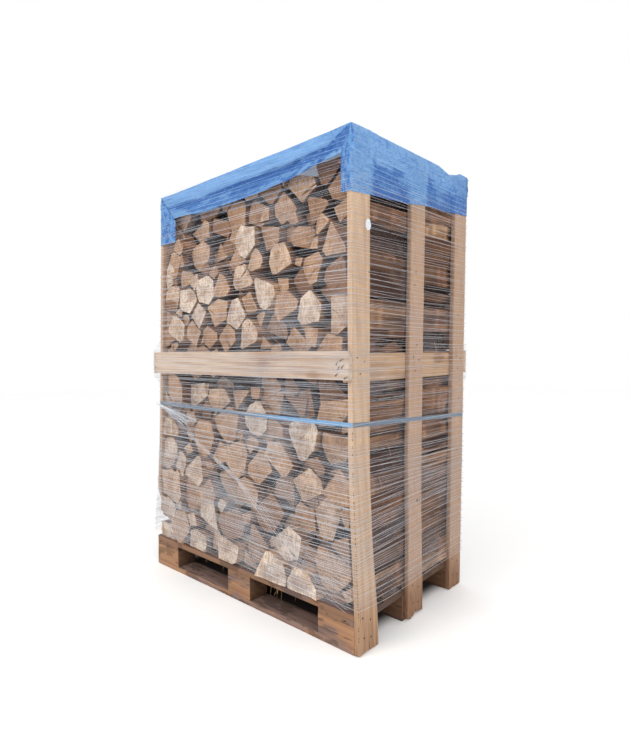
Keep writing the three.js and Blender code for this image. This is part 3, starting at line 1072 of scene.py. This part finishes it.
def sheet_axis(index, skirt, top_count):
    """Turns a grid row number into a place on the flat sheet: -1..1 over the top, past that down a skirt."""
    if index < skirt:
        return -1 - (skirt - index) / skirt
    if index > skirt + top_count:
        return 1 + (index - skirt - top_count) / skirt
    return -1 + 2 * (index - skirt) / top_count


def rest_height(x):
    """Height of the posts' tops, which fall towards the leaning side."""
    low = LEFT_HIGH[2] - 0.004
    return low + (POST_TOP - low) * ramp(x, left_outer(POST_TOP), POST_OUT)


def top_height(x, y):
    """Height of the film's top: taut over the posts, slack and resting on logs between them."""
    inside = min(POST_OUT - x, x - left_outer(POST_TOP))
    rim = along_line(RIM_LINE, y) * (1 - smooth(inside, 0.0, 0.12))
    middle = smooth(inside, 0.02, 0.22) * smooth(EDGE_Y - abs(y), 0.0, 0.16)
    lumps = rough_at(x * 7, y * 7, 5) * 0.5 + 0.5
    lines = 0.003 * rough_at(x * 5, y * 30, 2) * smooth(inside, 0.02, 0.12)
    return rest_height(x) + SKIRT_GAP + rim - middle * (0.04 - 0.024 * lumps) + lines


def skirt_point(u, v):
    """Where a point of the flat sheet lies, and how much folds and painted shade darken the film there.

    Beyond 1 the sheet hangs, and where both are beyond 1 it is a folded corner.
    """
    sign_x, sign_y = math.copysign(1, u), math.copysign(1, v)
    low_x, high_x = left_outer(POST_TOP) - SKIRT_GAP, POST_OUT + SKIRT_GAP
    x_top = low_x + (high_x - low_x) * (min(max(u, -1), 1) + 1) / 2
    y_top = min(max(v, -1), 1) * (EDGE_Y + SKIRT_GAP)
    down_x = max(abs(u) - 1, 0) * side_drop(y_top)
    down_y = max(abs(v) - 1, 0) * end_drop(x_top)
    top = top_height(x_top, y_top)
    if down_x == 0 and down_y == 0:
        return Vector((x_top, y_top, top)), 0.0
    if down_y == 0:
        return side_skirt(sign_x, y_top, top, down_x)
    if down_x == 0:
        return end_skirt(x_top, sign_y, top, down_y)
    return corner_ear(sign_x, sign_y, top, down_x, down_y)


def side_x(sign, z):
    return POST_OUT + SKIRT_GAP if sign > 0 else left_outer(z) - SKIRT_GAP


def side_skirt(sign, y, top, down):
    """Film pressed on the posts and drawn in between them, tight at first and rucked lower down."""
    t = down / side_drop(y)
    even = rest_height(sign) + SKIRT_GAP - side_drop(y)
    z = top + (even - top) * t
    bay = smooth(min(abs(abs(y) - 0.35), abs(y)), POST_WIDTH / 2, POST_WIDTH / 2 + 0.04)
    ruck = rough_at(y * 9, z * 22, 7 * sign) + 0.5 * rough_at(y * 14, z * 90, 3 * sign)
    draw = bay * (0.005 + 0.0055 * ruck * smooth(t, 0.2, 0.6)) * smooth(t, 0.0, 0.3)
    fine = 0.0007 * (1 + rough_at(y * 50, z * 50, 3))
    fold_and_shade = bay * smooth(t + 0.3 * ruck, 0.4, 0.55) * (0.75 + 0.7 * ruck) + 0.1 * bay
    fold_and_shade += (0.25 + 0.5 * smooth(t, 0.4, 0.6)) * smooth(y, 0.24, 0.31) + 0.4 * smooth(t, 0.86, 0.92) * bay
    return Vector((side_x(sign, z) - sign * (draw - fine), y, z)), fold_and_shade


def end_skirt(x, sign, top, down):
    """Film over the log ends: a taut band, a groove where it is pulled in and darkened with painted shade,
    then a loose hem that lies in folds.
    """
    reach = end_drop(x)
    t = down / reach
    from_right, from_left = POST_OUT - x, x - left_outer(POST_TOP)
    mid = smooth(min(from_right, from_left), 0.02, 0.14)
    wave = rough_at(x * 3.5, 1.5, 9 * sign)
    line = (0.056 + 0.008 * wave) * smooth(from_right, -0.05, 0.16)
    groove = (0.015 + 0.005 * wave) * hump(down, line + 0.008, 0.006, 0.016) * mid
    fan = math.atan2(down, max(from_right, 0.01))
    ray = rough_at(fan * 16, 3 * sign, from_right * 1.2) * smooth(from_right, 0.03, 0.12)
    ray *= 1 - smooth(from_right, 0.3, 0.75)
    ruck = rough_at(x * 4, t * 7, 4 * sign) + 0.7 * rough_at(x * 11, t * 19, 8)
    fold = (0.006 * ruck + 0.007 * ray) * smooth(t, 0.04, 0.25) * (0.2 + 0.8 * mid)
    inward = max(groove + fold + 0.002 * mid, -0.0012)
    under = smooth(down, line - 0.004, line + 0.004)
    patch = rough_at(x * 8, t * 3, 6) + 0.5 * rough_at(x * 36, t * 9, 2) + 0.2 - 0.9 * (t - 0.7)
    patch = smooth(patch, 0.0, 0.06) * smooth(x, -0.56, -0.3)
    wedge = 0.004 + 0.011 * smooth(x, -0.2, 0.45)
    # A dark band in the groove, just under the taut band, is painted shade that widens to the right; the
    # patches and rays below it are folds
    fold_and_shade = hump(down, line + 0.8 * wedge, wedge, 0.003) + under * 0.75 * patch
    fold_and_shade += 3 * max(ray - 0.05, 0) * under
    return Vector((x, sign * (EDGE_Y + SKIRT_GAP - inward), top - down)), fold_and_shade


def corner_ear(sign_x, sign_y, top, down_x, down_y):
    """The corner's spare film, doubled over along its diagonal and pressed flat round the post's edge."""
    near = sign_x > 0
    low, out = max(down_x, down_y), min(down_x, down_y)
    width = 0.5 if near else 1.0
    z = top - low
    edge = side_x(sign_x, z) - sign_x * SKIRT_GAP
    pleat = 0.0018 * math.sin(out * 300 + low * 20) * (1 if near else 0.4)
    outer = smooth(down_x - down_y, -0.004, 0.004)
    ruck = 0.0014 * rough_at(out * 40, low * 30, 5 * sign_y)
    layer = SKIRT_GAP + 0.0006 + 0.0018 * outer * smooth(out, 0, 0.01) + max(pleat + ruck, 0)
    x = edge - sign_x * (out * width - SKIRT_GAP * (1 - smooth(out, 0, 0.006)))
    crumple = rough_at(out * 70, low * 25, 3) + 0.5 * rough_at(out * 160, low * 60, 8)
    fold_and_shade = 0.12 + 0.75 * smooth(crumple, -0.12, 0.1) * smooth(out, 0.004, 0.02)
    return Vector((x, sign_y * (EDGE_Y + layer), z)), fold_and_shade


def build_sheet(wrap):
    """The film sheet, laid over the posts and turned down on all four sides."""
    skirt_u, top_u, skirt_v, top_v = 26, 148, 16, 100
    across, deep = 2 * skirt_u + top_u, 2 * skirt_v + top_v
    bm = bmesh.new()
    fold_and_shade = bm.verts.layers.float.new("fold_and_shade")
    bmesh.ops.create_grid(bm, x_segments=across, y_segments=deep, size=1)
    for vert in bm.verts:
        column = round((vert.co.x + 1) / 2 * across)
        row = round((vert.co.y + 1) / 2 * deep)
        u, v = sheet_axis(column, skirt_u, top_u), sheet_axis(row, skirt_v, top_v)
        vert.co, vert[fold_and_shade] = skirt_point(u, v)
    bmesh.ops.recalc_face_normals(bm, faces=bm.faces[:])
    bmesh.ops.solidify(bm, geom=bm.faces[:], thickness=0.0005)
    sheet = add_piece("film_sheet", bm, [film_material(wrap)], ["top_sheet"], crease=80)
    depth = 2 * EDGE_Y + 2 * end_drop(0)


def net_loop(rng, z, tilt, gap):
    """One turn of the net: nearly level, wavering a little, and tugged at the corners."""
    seed = rng.uniform(0, 50)
    lift = [rng.gauss(0, 0.004) for _ in range(4)]

    def height(place):
        face, t = int(place) % 4, place - int(place)
        corner = lift[face] * (1 - t) + lift[(face + 1) % 4] * t
        slope = tilt * math.cos(math.pi * place / 2)
        waver = 0.0028 * rough_at(place * 3.2, seed, z * 2)
        return min(max(z + corner + slope + waver, NET_LOW[2] + 0.004), NET_HIGH[2] + 0.008)

    return wrap_points(height, gap, 1)


def knit_group():
    """The fine threads between a net's strands, as a mask that thickens in patches and lower down."""

    def build(graph, given):
        x, y, z = graph.parts(given["Place"])
        round_about = graph.plus(x, y)
        drift = graph.times(graph.noise(given["Place"], 5.0, 2.0), 0.05)
        tooth = graph.math("PINGPONG", graph.math("DIVIDE", graph.plus(round_about, drift), 0.007), 1.0)
        level = graph.math("PINGPONG", graph.math("DIVIDE", graph.plus(z, drift), 0.0045), 1.0)
        thread = graph.ease(graph.absolute(graph.minus(tooth, level)), 0.3, 0.05)
        cloud = graph.noise(graph.stretch(given["Place"], (3.2, 3.2, 4.5)), 1.0, 3.0)
        streak = graph.noise(graph.stretch(given["Place"], (5, 5, 130)), 1.0, 3.0)
        low = graph.plus(graph.ease(z, 1.3, 0.5, 0.0, 0.16), graph.ease(cloud, 0.46, 0.64, 0.0, 0.5))
        boards = graph.ease(x, POST_IN, POST_OUT, 1.0, 0.55)
        dense = graph.times(graph.ease(streak, 0.34, 0.62, 0.3, 1.3), graph.plus(low, 0.16))
        dense = graph.times(dense, graph.times(boards, graph.ease(z, 1.45, 0.95, 0.6, 1.0)))
        share = graph.plus(graph.times(thread, 0.45), 0.4)
        return {"Cover": graph.times(dense, share, clamp=True)}

    return node_group("Knit", {"Place": ("Vector", None)}, {"Cover": "Float"}, build)


def build_veil(wrap):
    """The net's fine knitted threads, as a thin see-through skin under its strands."""
    material, graph, shader = surface("Net knit", 0.6, 0.3)
    knit = place_group(graph, knit_group(), {"Place": graph.place()})
    graph.put(shader.inputs["Alpha"], graph.times(knit["Cover"], 0.6))
    graph.put(shader.inputs["Base Color"], graph.mix(knit["Cover"], paint("a9adb6"), paint("d4d8df")))
    relief(graph, shader, knit["Cover"], 0.0006)
    bottom, top, rows = NET_LOW[2] + 0.008, NET_HIGH[2] - 0.12, 52
    levels = [bottom + (top - bottom) * k / rows for k in range(rows + 1)]
    loops = [wrap_points(lambda place: level, wrap.clearance * 0.6, 1) for level in levels]
    around = len(loops[0])
    bm = bmesh.new()
    bmesh.ops.create_grid(bm, x_segments=around, y_segments=rows, size=1)
    for vert in bm.verts:
        column = round((vert.co.x + 1) / 2 * around)
        row = round((vert.co.y + 1) / 2 * rows)
        vert.co = loops[row][column % around]
    add_piece("net_knit", bm, [material], crease=50)


def build_net(wrap):
    """Net wound on in four passes: two to the top, then two that stop lower down."""
    yarn = yarn_material(wrap)
    rng = random.Random(5)
    passes = [
        ("upper", 0.178, NET_HIGH[2], 0.0175, 0.004, wrap.clearance, 0.75),
        ("crossed", 0.8, NET_HIGH[2], 0.022, 0.03, wrap.clearance + 0.0006, 0.6),
        ("middle", 0.19, 1.2, 0.024, 0.018, wrap.clearance + 0.0012, 0.85),
        ("lower", 0.172, 0.72, 0.026, 0.036, wrap.clearance + 0.0024, 1.05),
    ]
    for name, low, high, pitch, tilt, gap, weight in passes:
        count = int((high - low) / pitch)
        loops = []
        for k in range(count + 1):
            lean = tilt * math.sin(k * 0.31 + low * 9)
            loops.append(net_loop(rng, low + k * pitch + rng.gauss(0, pitch * 0.22), lean, gap))
        strands = []
        for loop in loops:
            thick = weight * rng.uniform(0.7, 1.3)
            strands.append([(*point, thick * (1 + 0.45 * noise.noise(point * 4))) for point in loop])
        bm = curves_to_bmesh(strands, wrap.strand, cyclic=True)
        replaced = ["net_wrap"] if name == "upper" else ()
        add_piece(f"net_strands_{name}", bm, [yarn], replaced, crease=50)


def build_gather(wrap):
    """Where the net's free edge is gathered into a rope that crosses the front, low to the right."""
    rng = random.Random(8)
    front = -(EDGE_Y + wrap.clearance + 0.0045)
    route = [(-0.605, 0.815), (-0.43, 0.765), (-0.29, 0.665), (0.004, 0.532)]
    route += [(0.16, 0.426), (0.32, 0.315), (0.6, 0.2)]
    paths = []
    for k in range(9):
        spread = (k / 8 - 0.5) * 2
        path = []
        for step in range(60):
            t = step / 59 * (len(route) - 1)
            i = min(int(t), len(route) - 2)
            a, b = Vector(route[i]), Vector(route[i + 1])
            spot = a.lerp(b, t - i)
            fan = 0.007 + 0.035 * smooth(step / 59, 0.45, 1.0) + 0.014 * hump(step / 59, 0.2, 0.03, 0.12)
            curl = fan * (spread + 0.5 * rough_at(t * 1.1, k * 3.7, 1))
            path.append((spot.x + curl * 0.5, front - 0.0006 * (k % 3), spot.y + curl, 0.8))
        paths.append(path)
    corner, low_side, high_side = Vector((-0.6, 0.812)), Vector((-0.371, 0.724)), Vector((-0.25, 0.757))
    for k in range(26):
        astray = Vector((rng.uniform(-0.02, 0.02), rng.uniform(-0.004, 0.004)))
        end = low_side.lerp(high_side, k / 25) + astray
        steps = [corner.lerp(end, s / 12) for s in range(13)]
        paths.append([(p.x, front - 0.0012, p.y + 0.0012 * rough_at(p.x * 20, k, 0), 1.0) for p in steps])
    bm = curves_to_bmesh(paths, wrap.thread)
    add_piece("net_gather", bm, [yarn_material(wrap)], crease=50)


# Small things


def add_nail(bm, place, normal, head, bend):
    """A nail head on a board, with a bent shank where it was knocked over."""
    turn = Vector((0, 0, 1)).rotation_difference(normal).to_matrix().to_4x4()
    at = Matrix.Translation(place) @ turn
    seat = at @ Matrix.Translation((0, 0, 0.0005))
    bmesh.ops.create_cone(
        bm, cap_ends=True, segments=10, radius1=head, radius2=head * 0.8, depth=0.0014, matrix=seat
    )
    if bend:
        beside = at @ Matrix.Rotation(bend, 4, "Z") @ Matrix.Translation((head * 2.2, 0, 0.0012))
        lay = beside @ Matrix.Rotation(math.pi / 2, 4, "Y")
        bmesh.ops.create_cone(
            bm, cap_ends=True, segments=8, radius1=0.0016, radius2=0.0011, depth=head * 5, matrix=lay
        )


def build_nails():
    rng = random.Random(21)
    rusty = metal_material("Nail steel", paint("4a4642"), paint("3a2418"), 0.7)
    bm = bmesh.new()
    rail_face = -(EDGE_Y + RAIL_THICK)
    bent = [(0.586, 1.031), (0.568, 1.017), (0.592, 1.006), (0.565, 0.979), (0.604, 0.97), (0.575, 1.0)]
    for side in (1, -1):
        for x, z in bent:
            bend = rng.uniform(0.2, 1.2)
            add_nail(bm, Vector((x, rail_face * side, z)), Vector((0, -side, 0)), 0.0032, bend)
        for dx, z in ((0.016, 1.042), (0.022, 1.02), (0.012, 0.99), (0.02, 0.966)):
            add_nail(bm, Vector((RAIL_LOW[0] + dx, rail_face * side, z)), Vector((0, -side, 0)), 0.0035, 0)
    for y in (-0.35, 0.0, 0.35):
        for dy, dz in ((-0.022, 0.026), (0.018, 0.012), (-0.006, -0.03)):
            add_nail(bm, Vector((POST_OUT, y + dy, RAIL_Z + dz)), Vector((1, 0, 0)), 0.0036, 0)
            z = RAIL_Z + dz
            add_nail(bm, Vector((left_outer(z), y - dy, z)), Vector((-1, 0, 0)), 0.0036, 0)
        for dy, z in ((-0.025, 0.132), (0.02, 0.112), (0.022, 0.05), (-0.02, 0.06)):
            add_nail(bm, Vector((POST_OUT, y + dy, z)), Vector((1, 0, 0)), 0.0036, 0)
            add_nail(bm, Vector((left_outer(z), y + dy, z)), Vector((-1, 0, 0)), 0.0036, 0)
    for y, faces in ((-EDGE_Y, -1), (EDGE_Y, 1)):
        for x in (-0.53, 0.0, 0.53):
            for dx in (-0.03, 0.035):
                add_nail(bm, Vector((x + dx, y, 0.111)), Vector((0, faces, 0)), 0.003, 0)
    add_piece("nails", bm, [rusty], crease=40)


def build_marks():
    """Knots on the posts, dark ticks up the near post's front edge as painted shadows of the net strands, and
    a scrap of pale tape on the near one.
    """
    rng = random.Random(4)
    bm = bmesh.new()
    turn = Matrix.Rotation(math.pi / 2, 4, "Y")
    # Places along the right side, heights, and radii in millimetres
    knots = [(-0.013, 1.37, 6), (-0.306, 1.339, 4), (0.003, 1.086, 5), (0.014, 0.464, 8)]
    knots += [(0.032, 0.459, 5), (-0.02, 1.32, 4), (0.36, 0.85, 4), (0.35, 0.62, 5)]
    knots += [(0.34, 1.22, 4), (-0.35, 0.55, 3), (-0.33, 1.62, 3)]
    for y, z, radius in knots:
        size = Matrix.Diagonal((radius / 1000, radius / 1000 * 0.8, 0.0008, 1))
        place = Matrix.Translation((POST_OUT + 0.0006, y, z)) @ turn @ size
        bmesh.ops.create_cone(bm, cap_ends=True, segments=14, radius1=1, radius2=0.7, depth=1, matrix=place)
    # Dark ticks up the near post's front edge: painted shadows where the net strands cross it
    for k in range(62):
        z = 0.06 + k * 0.0118 + rng.uniform(-0.003, 0.003)
        if rng.random() < 0.75:
            size = Matrix.Diagonal((0.0014, 0.0022, rng.uniform(0.003, 0.008), 1))
            place = Matrix.Translation((POST_OUT - 0.0002, -EDGE_Y + 0.0004, z)) @ size
            bmesh.ops.create_cube(bm, size=1, matrix=place)
    material, graph, shader = surface("Knots and strand shadows", 0.8)
    ring = graph.noise(graph.place(), 300.0, 3.0)
    graph.put(shader.inputs["Base Color"], graph.mix(ring, paint("3c281c"), paint("7a5640")))
    relief(graph, shader, ring, 0.0004)
    add_piece("post_marks", bm, [material], crease=40)
    scrap = bmesh.new()
    stuck_at = Matrix.Translation((POST_OUT + 0.0007, -0.311, 1.503))
    outline = stuck_at @ turn @ Matrix.Diagonal((0.021, 0.015, 1, 1))
    bmesh.ops.create_circle(scrap, cap_ends=True, segments=7, radius=1, matrix=outline)
    bmesh.ops.recalc_face_normals(scrap, faces=scrap.faces[:])
    bmesh.ops.solidify(scrap, geom=scrap.faces[:], thickness=0.0006)
    paper, graph, shader = surface("Pale tape", 0.5)
    fade = graph.noise(graph.place(), 90.0, 3.0)
    graph.put(shader.inputs["Base Color"], graph.mix(fade, paint("e4e6ec"), paint("c6ccd8")))
    relief(graph, shader, fade, 0.0003)
    add_piece("tape_scrap", scrap, [paper])


def build_straw():
    """Splinters and straw caught under the deck, between the logs and in the net."""
    rng = random.Random(33)
    paths = []
    for x in (0.16, 0.2, 0.215, 0.225, -0.33, -0.25, 0.3, -0.14):
        for _ in range(2):
            aside, inward = rng.uniform(-0.02, 0.02), rng.uniform(0.01, 0.05)
            start = Vector((x + aside, -EDGE_Y + inward, DECK_TOP - 0.012))
            lean = Vector((rng.gauss(0, 0.35), rng.gauss(0, 0.1), -1)).normalized()
            long = rng.uniform(0.03, 0.085)
            points = [start + lean * long * s / 5 + Vector((0.004 * math.sin(s), 0, 0)) for s in range(6)]
            paths.append([(*point, 1.1 - s * 0.15) for s, point in enumerate(points)])
    for _ in range(46):
        x, z = rng.uniform(-0.54, 0.56), rng.uniform(0.2, 1.68)
        start = Vector((x, -EDGE_Y + rng.uniform(0.002, 0.02), z))
        way = Vector((rng.gauss(0, 1), rng.gauss(0, 0.06), rng.gauss(0, 1))).normalized()
        way = way * rng.uniform(0.02, 0.06)
        points = [start + way * s / 5 + Vector((0, 0, 0.003 * math.sin(s * 1.3))) for s in range(6)]
        paths.append([(*point, 0.8) for point in points])
    for y, z, long in ((-0.16, 0.72, 0.055), (0.06, 0.09, 0.05), (-0.22, 0.6, 0.04), (0.18, 1.1, 0.05)):
        start = Vector((POST_IN - 0.004, y, z))
        points = [start + Vector((0.002 * s, 0.002 * s, -long * s / 5)) for s in range(6)]
        paths.append([(*point, 1.0) for point in points])
    bm = curves_to_bmesh(paths, 0.0009)
    add_piece("straw", bm, [straw_material()], crease=50)


# Studio

CAMERA_AT, CAMERA_LENS = (1.749, -1.827, 1.063), 25.43
CAMERA_TURN, CAMERA_DIP, CAMERA_ROLL = 42.34, 2.85, -0.39  # degrees


def aim(thing, place, target):
    thing.location = place
    thing.rotation_euler = (Vector(target) - Vector(place)).to_track_quat("-Z", "Y").to_euler()


def soft_light(name, place, size, power, tint):
    light = bpy.data.lights.new(name, "AREA")
    light.shape, light.size, light.energy, light.color = "DISK", size, power, tint
    holder = bpy.data.objects.new(name, light)
    aim(holder, place, (0, 0, 0.8))
    bpy.context.scene.collection.objects.link(holder)


def build_camera():
    camera = bpy.data.cameras.new("view")
    camera.lens, camera.sensor_width, camera.sensor_fit = CAMERA_LENS, 36.0, "AUTO"
    holder = bpy.data.objects.new("view", camera)
    turn = Matrix.Rotation(math.radians(CAMERA_TURN), 4, "Z")
    dip = Matrix.Rotation(math.radians(90 - CAMERA_DIP), 4, "X")
    roll = Matrix.Rotation(math.radians(CAMERA_ROLL), 4, "Z")
    holder.matrix_world = Matrix.Translation(CAMERA_AT) @ (turn @ dip) @ roll
    bpy.context.scene.collection.objects.link(holder)
    bpy.context.scene.camera = holder


def build_floor():
    """A pale floor, darkened under the pallet to stand in for the shade in its fork pockets."""
    bm = bmesh.new()
    below = Matrix.Translation((0, 0, -0.0005))
    bmesh.ops.create_circle(bm, cap_ends=True, segments=64, radius=14, matrix=below)
    mesh = bpy.data.meshes.new("floor")
    bm.to_mesh(mesh)
    bm.free()
    material, graph, shader = surface("Studio floor", 0.9, 0.1)
    place = graph.place()
    x, y, _ = graph.parts(place)
    pale = graph.mix(graph.noise(place, 6.0, 3.0), paint("fcfcfc"), paint("fefefe"))
    under_x = graph.ease(graph.absolute(x), 0.6, 0.52)
    under_y = graph.ease(graph.absolute(y), 0.39, 0.31)
    under = graph.times(graph.times(under_x, under_y), 0.97)
    graph.put(shader.inputs["Base Color"], graph.mix(under, pale, paint("1c1210")))
    mesh.materials.append(material)
    floor = bpy.data.objects.new("floor", mesh)
    bpy.context.scene.collection.objects.link(floor)


def build_world():
    world = bpy.data.worlds.new("studio")
    world.use_nodes = True
    back = world.node_tree.nodes["Background"]
    back.inputs["Color"].default_value = (1.0, 1.0, 1.0, 1.0)
    back.inputs["Strength"].default_value = 1.0
    scene = bpy.context.scene
    scene.world = world
    scene.view_settings.view_transform = "Standard"
    soft_light("key", (-0.6, -5.2, 4.6), 2.4, 130, (1.0, 0.98, 0.95))
    soft_light("fill", (5.2, -1.8, 3.4), 2.6, 95, (1.0, 0.99, 0.97))


# Operators


class CrateOperator:
    bl_options = {"REGISTER", "UNDO"}


class FIREWOOD_OT_stage(CrateOperator, bpy.types.Operator):
    """Camera, floor and soft studio light"""

    bl_idname = "firewood.stage"
    bl_label = "Studio"

    def execute(self, context):
        build_camera()
        build_floor()
        build_world()
        return {"FINISHED"}


class FIREWOOD_OT_timber(CrateOperator, bpy.types.Operator):
    """Pallet boards and blocks, posts and rails"""

    bl_idname = "firewood.timber"
    bl_label = "Timber"

    def execute(self, context):
        build_timber(context.scene.firewood_timber)
        return {"FINISHED"}


class FIREWOOD_OT_logs(CrateOperator, bpy.types.Operator):
    """Two rows of split logs"""

    bl_idname = "firewood.logs"
    bl_label = "Logs"

    def execute(self, context):
        build_logs(context.scene.firewood_logs)
        return {"FINISHED"}


class FIREWOOD_OT_band(CrateOperator, bpy.types.Operator):
    """Strapping band and its seal"""

    bl_idname = "firewood.band"
    bl_label = "Band"

    def execute(self, context):
        build_band(context.scene.firewood_wrap)
        return {"FINISHED"}


class FIREWOOD_OT_sheet(CrateOperator, bpy.types.Operator):
    """Film sheet over the top"""

    bl_idname = "firewood.sheet"
    bl_label = "Top sheet"

    def execute(self, context):
        build_sheet(context.scene.firewood_wrap)
        return {"FINISHED"}


class FIREWOOD_OT_net(CrateOperator, bpy.types.Operator):
    """Pallet net wound round the crate"""

    bl_idname = "firewood.net"
    bl_label = "Net"

    def execute(self, context):
        build_net(context.scene.firewood_wrap)
        build_veil(context.scene.firewood_wrap)
        build_gather(context.scene.firewood_wrap)
        return {"FINISHED"}


class FIREWOOD_OT_small(CrateOperator, bpy.types.Operator):
    """Nails, knots, tape, splinters and straw"""

    bl_idname = "firewood.small"
    bl_label = "Nails and straw"

    def execute(self, context):
        build_nails()
        build_marks()
        build_straw()
        return {"FINISHED"}


OPERATORS = (
    FIREWOOD_OT_stage,
    FIREWOOD_OT_timber,
    FIREWOOD_OT_logs,
    FIREWOOD_OT_band,
    FIREWOOD_OT_sheet,
    FIREWOOD_OT_net,
    FIREWOOD_OT_small,
)
SETTINGS = {"firewood_timber": TimberSettings, "firewood_logs": LogSettings, "firewood_wrap": WrapSettings}


class FIREWOOD_PT_panel(bpy.types.Panel):
    """Lists the pieces of the crate"""

    bl_label = "Firewood crate"
    bl_space_type = "VIEW_3D"
    bl_region_type = "UI"
    bl_category = "Firewood"

    def draw(self, context):
        for operator in OPERATORS:
            self.layout.operator(operator.bl_idname)
        for name, group in SETTINGS.items():
            box = self.layout.box()
            for prop in group.__annotations__:
                box.prop(getattr(context.scene, name), prop)


def register():
    for item in (*SETTINGS.values(), *OPERATORS, FIREWOOD_PT_panel):
        bpy.utils.register_class(item)
    for name, group in SETTINGS.items():
        setattr(bpy.types.Scene, name, bpy.props.PointerProperty(type=group))


def unregister():
    for name in SETTINGS:
        delattr(bpy.types.Scene, name)
    for item in (FIREWOOD_PT_panel, *reversed(OPERATORS), *SETTINGS.values()):
        bpy.utils.unregister_class(item)


def main():
    register()
    bpy.ops.firewood.stage()
    bpy.ops.firewood.timber()
    bpy.ops.firewood.logs()
    bpy.ops.firewood.band()
    bpy.ops.firewood.sheet()
    bpy.ops.firewood.net()
    bpy.ops.firewood.small()


if __name__ == "__main__":
    main()
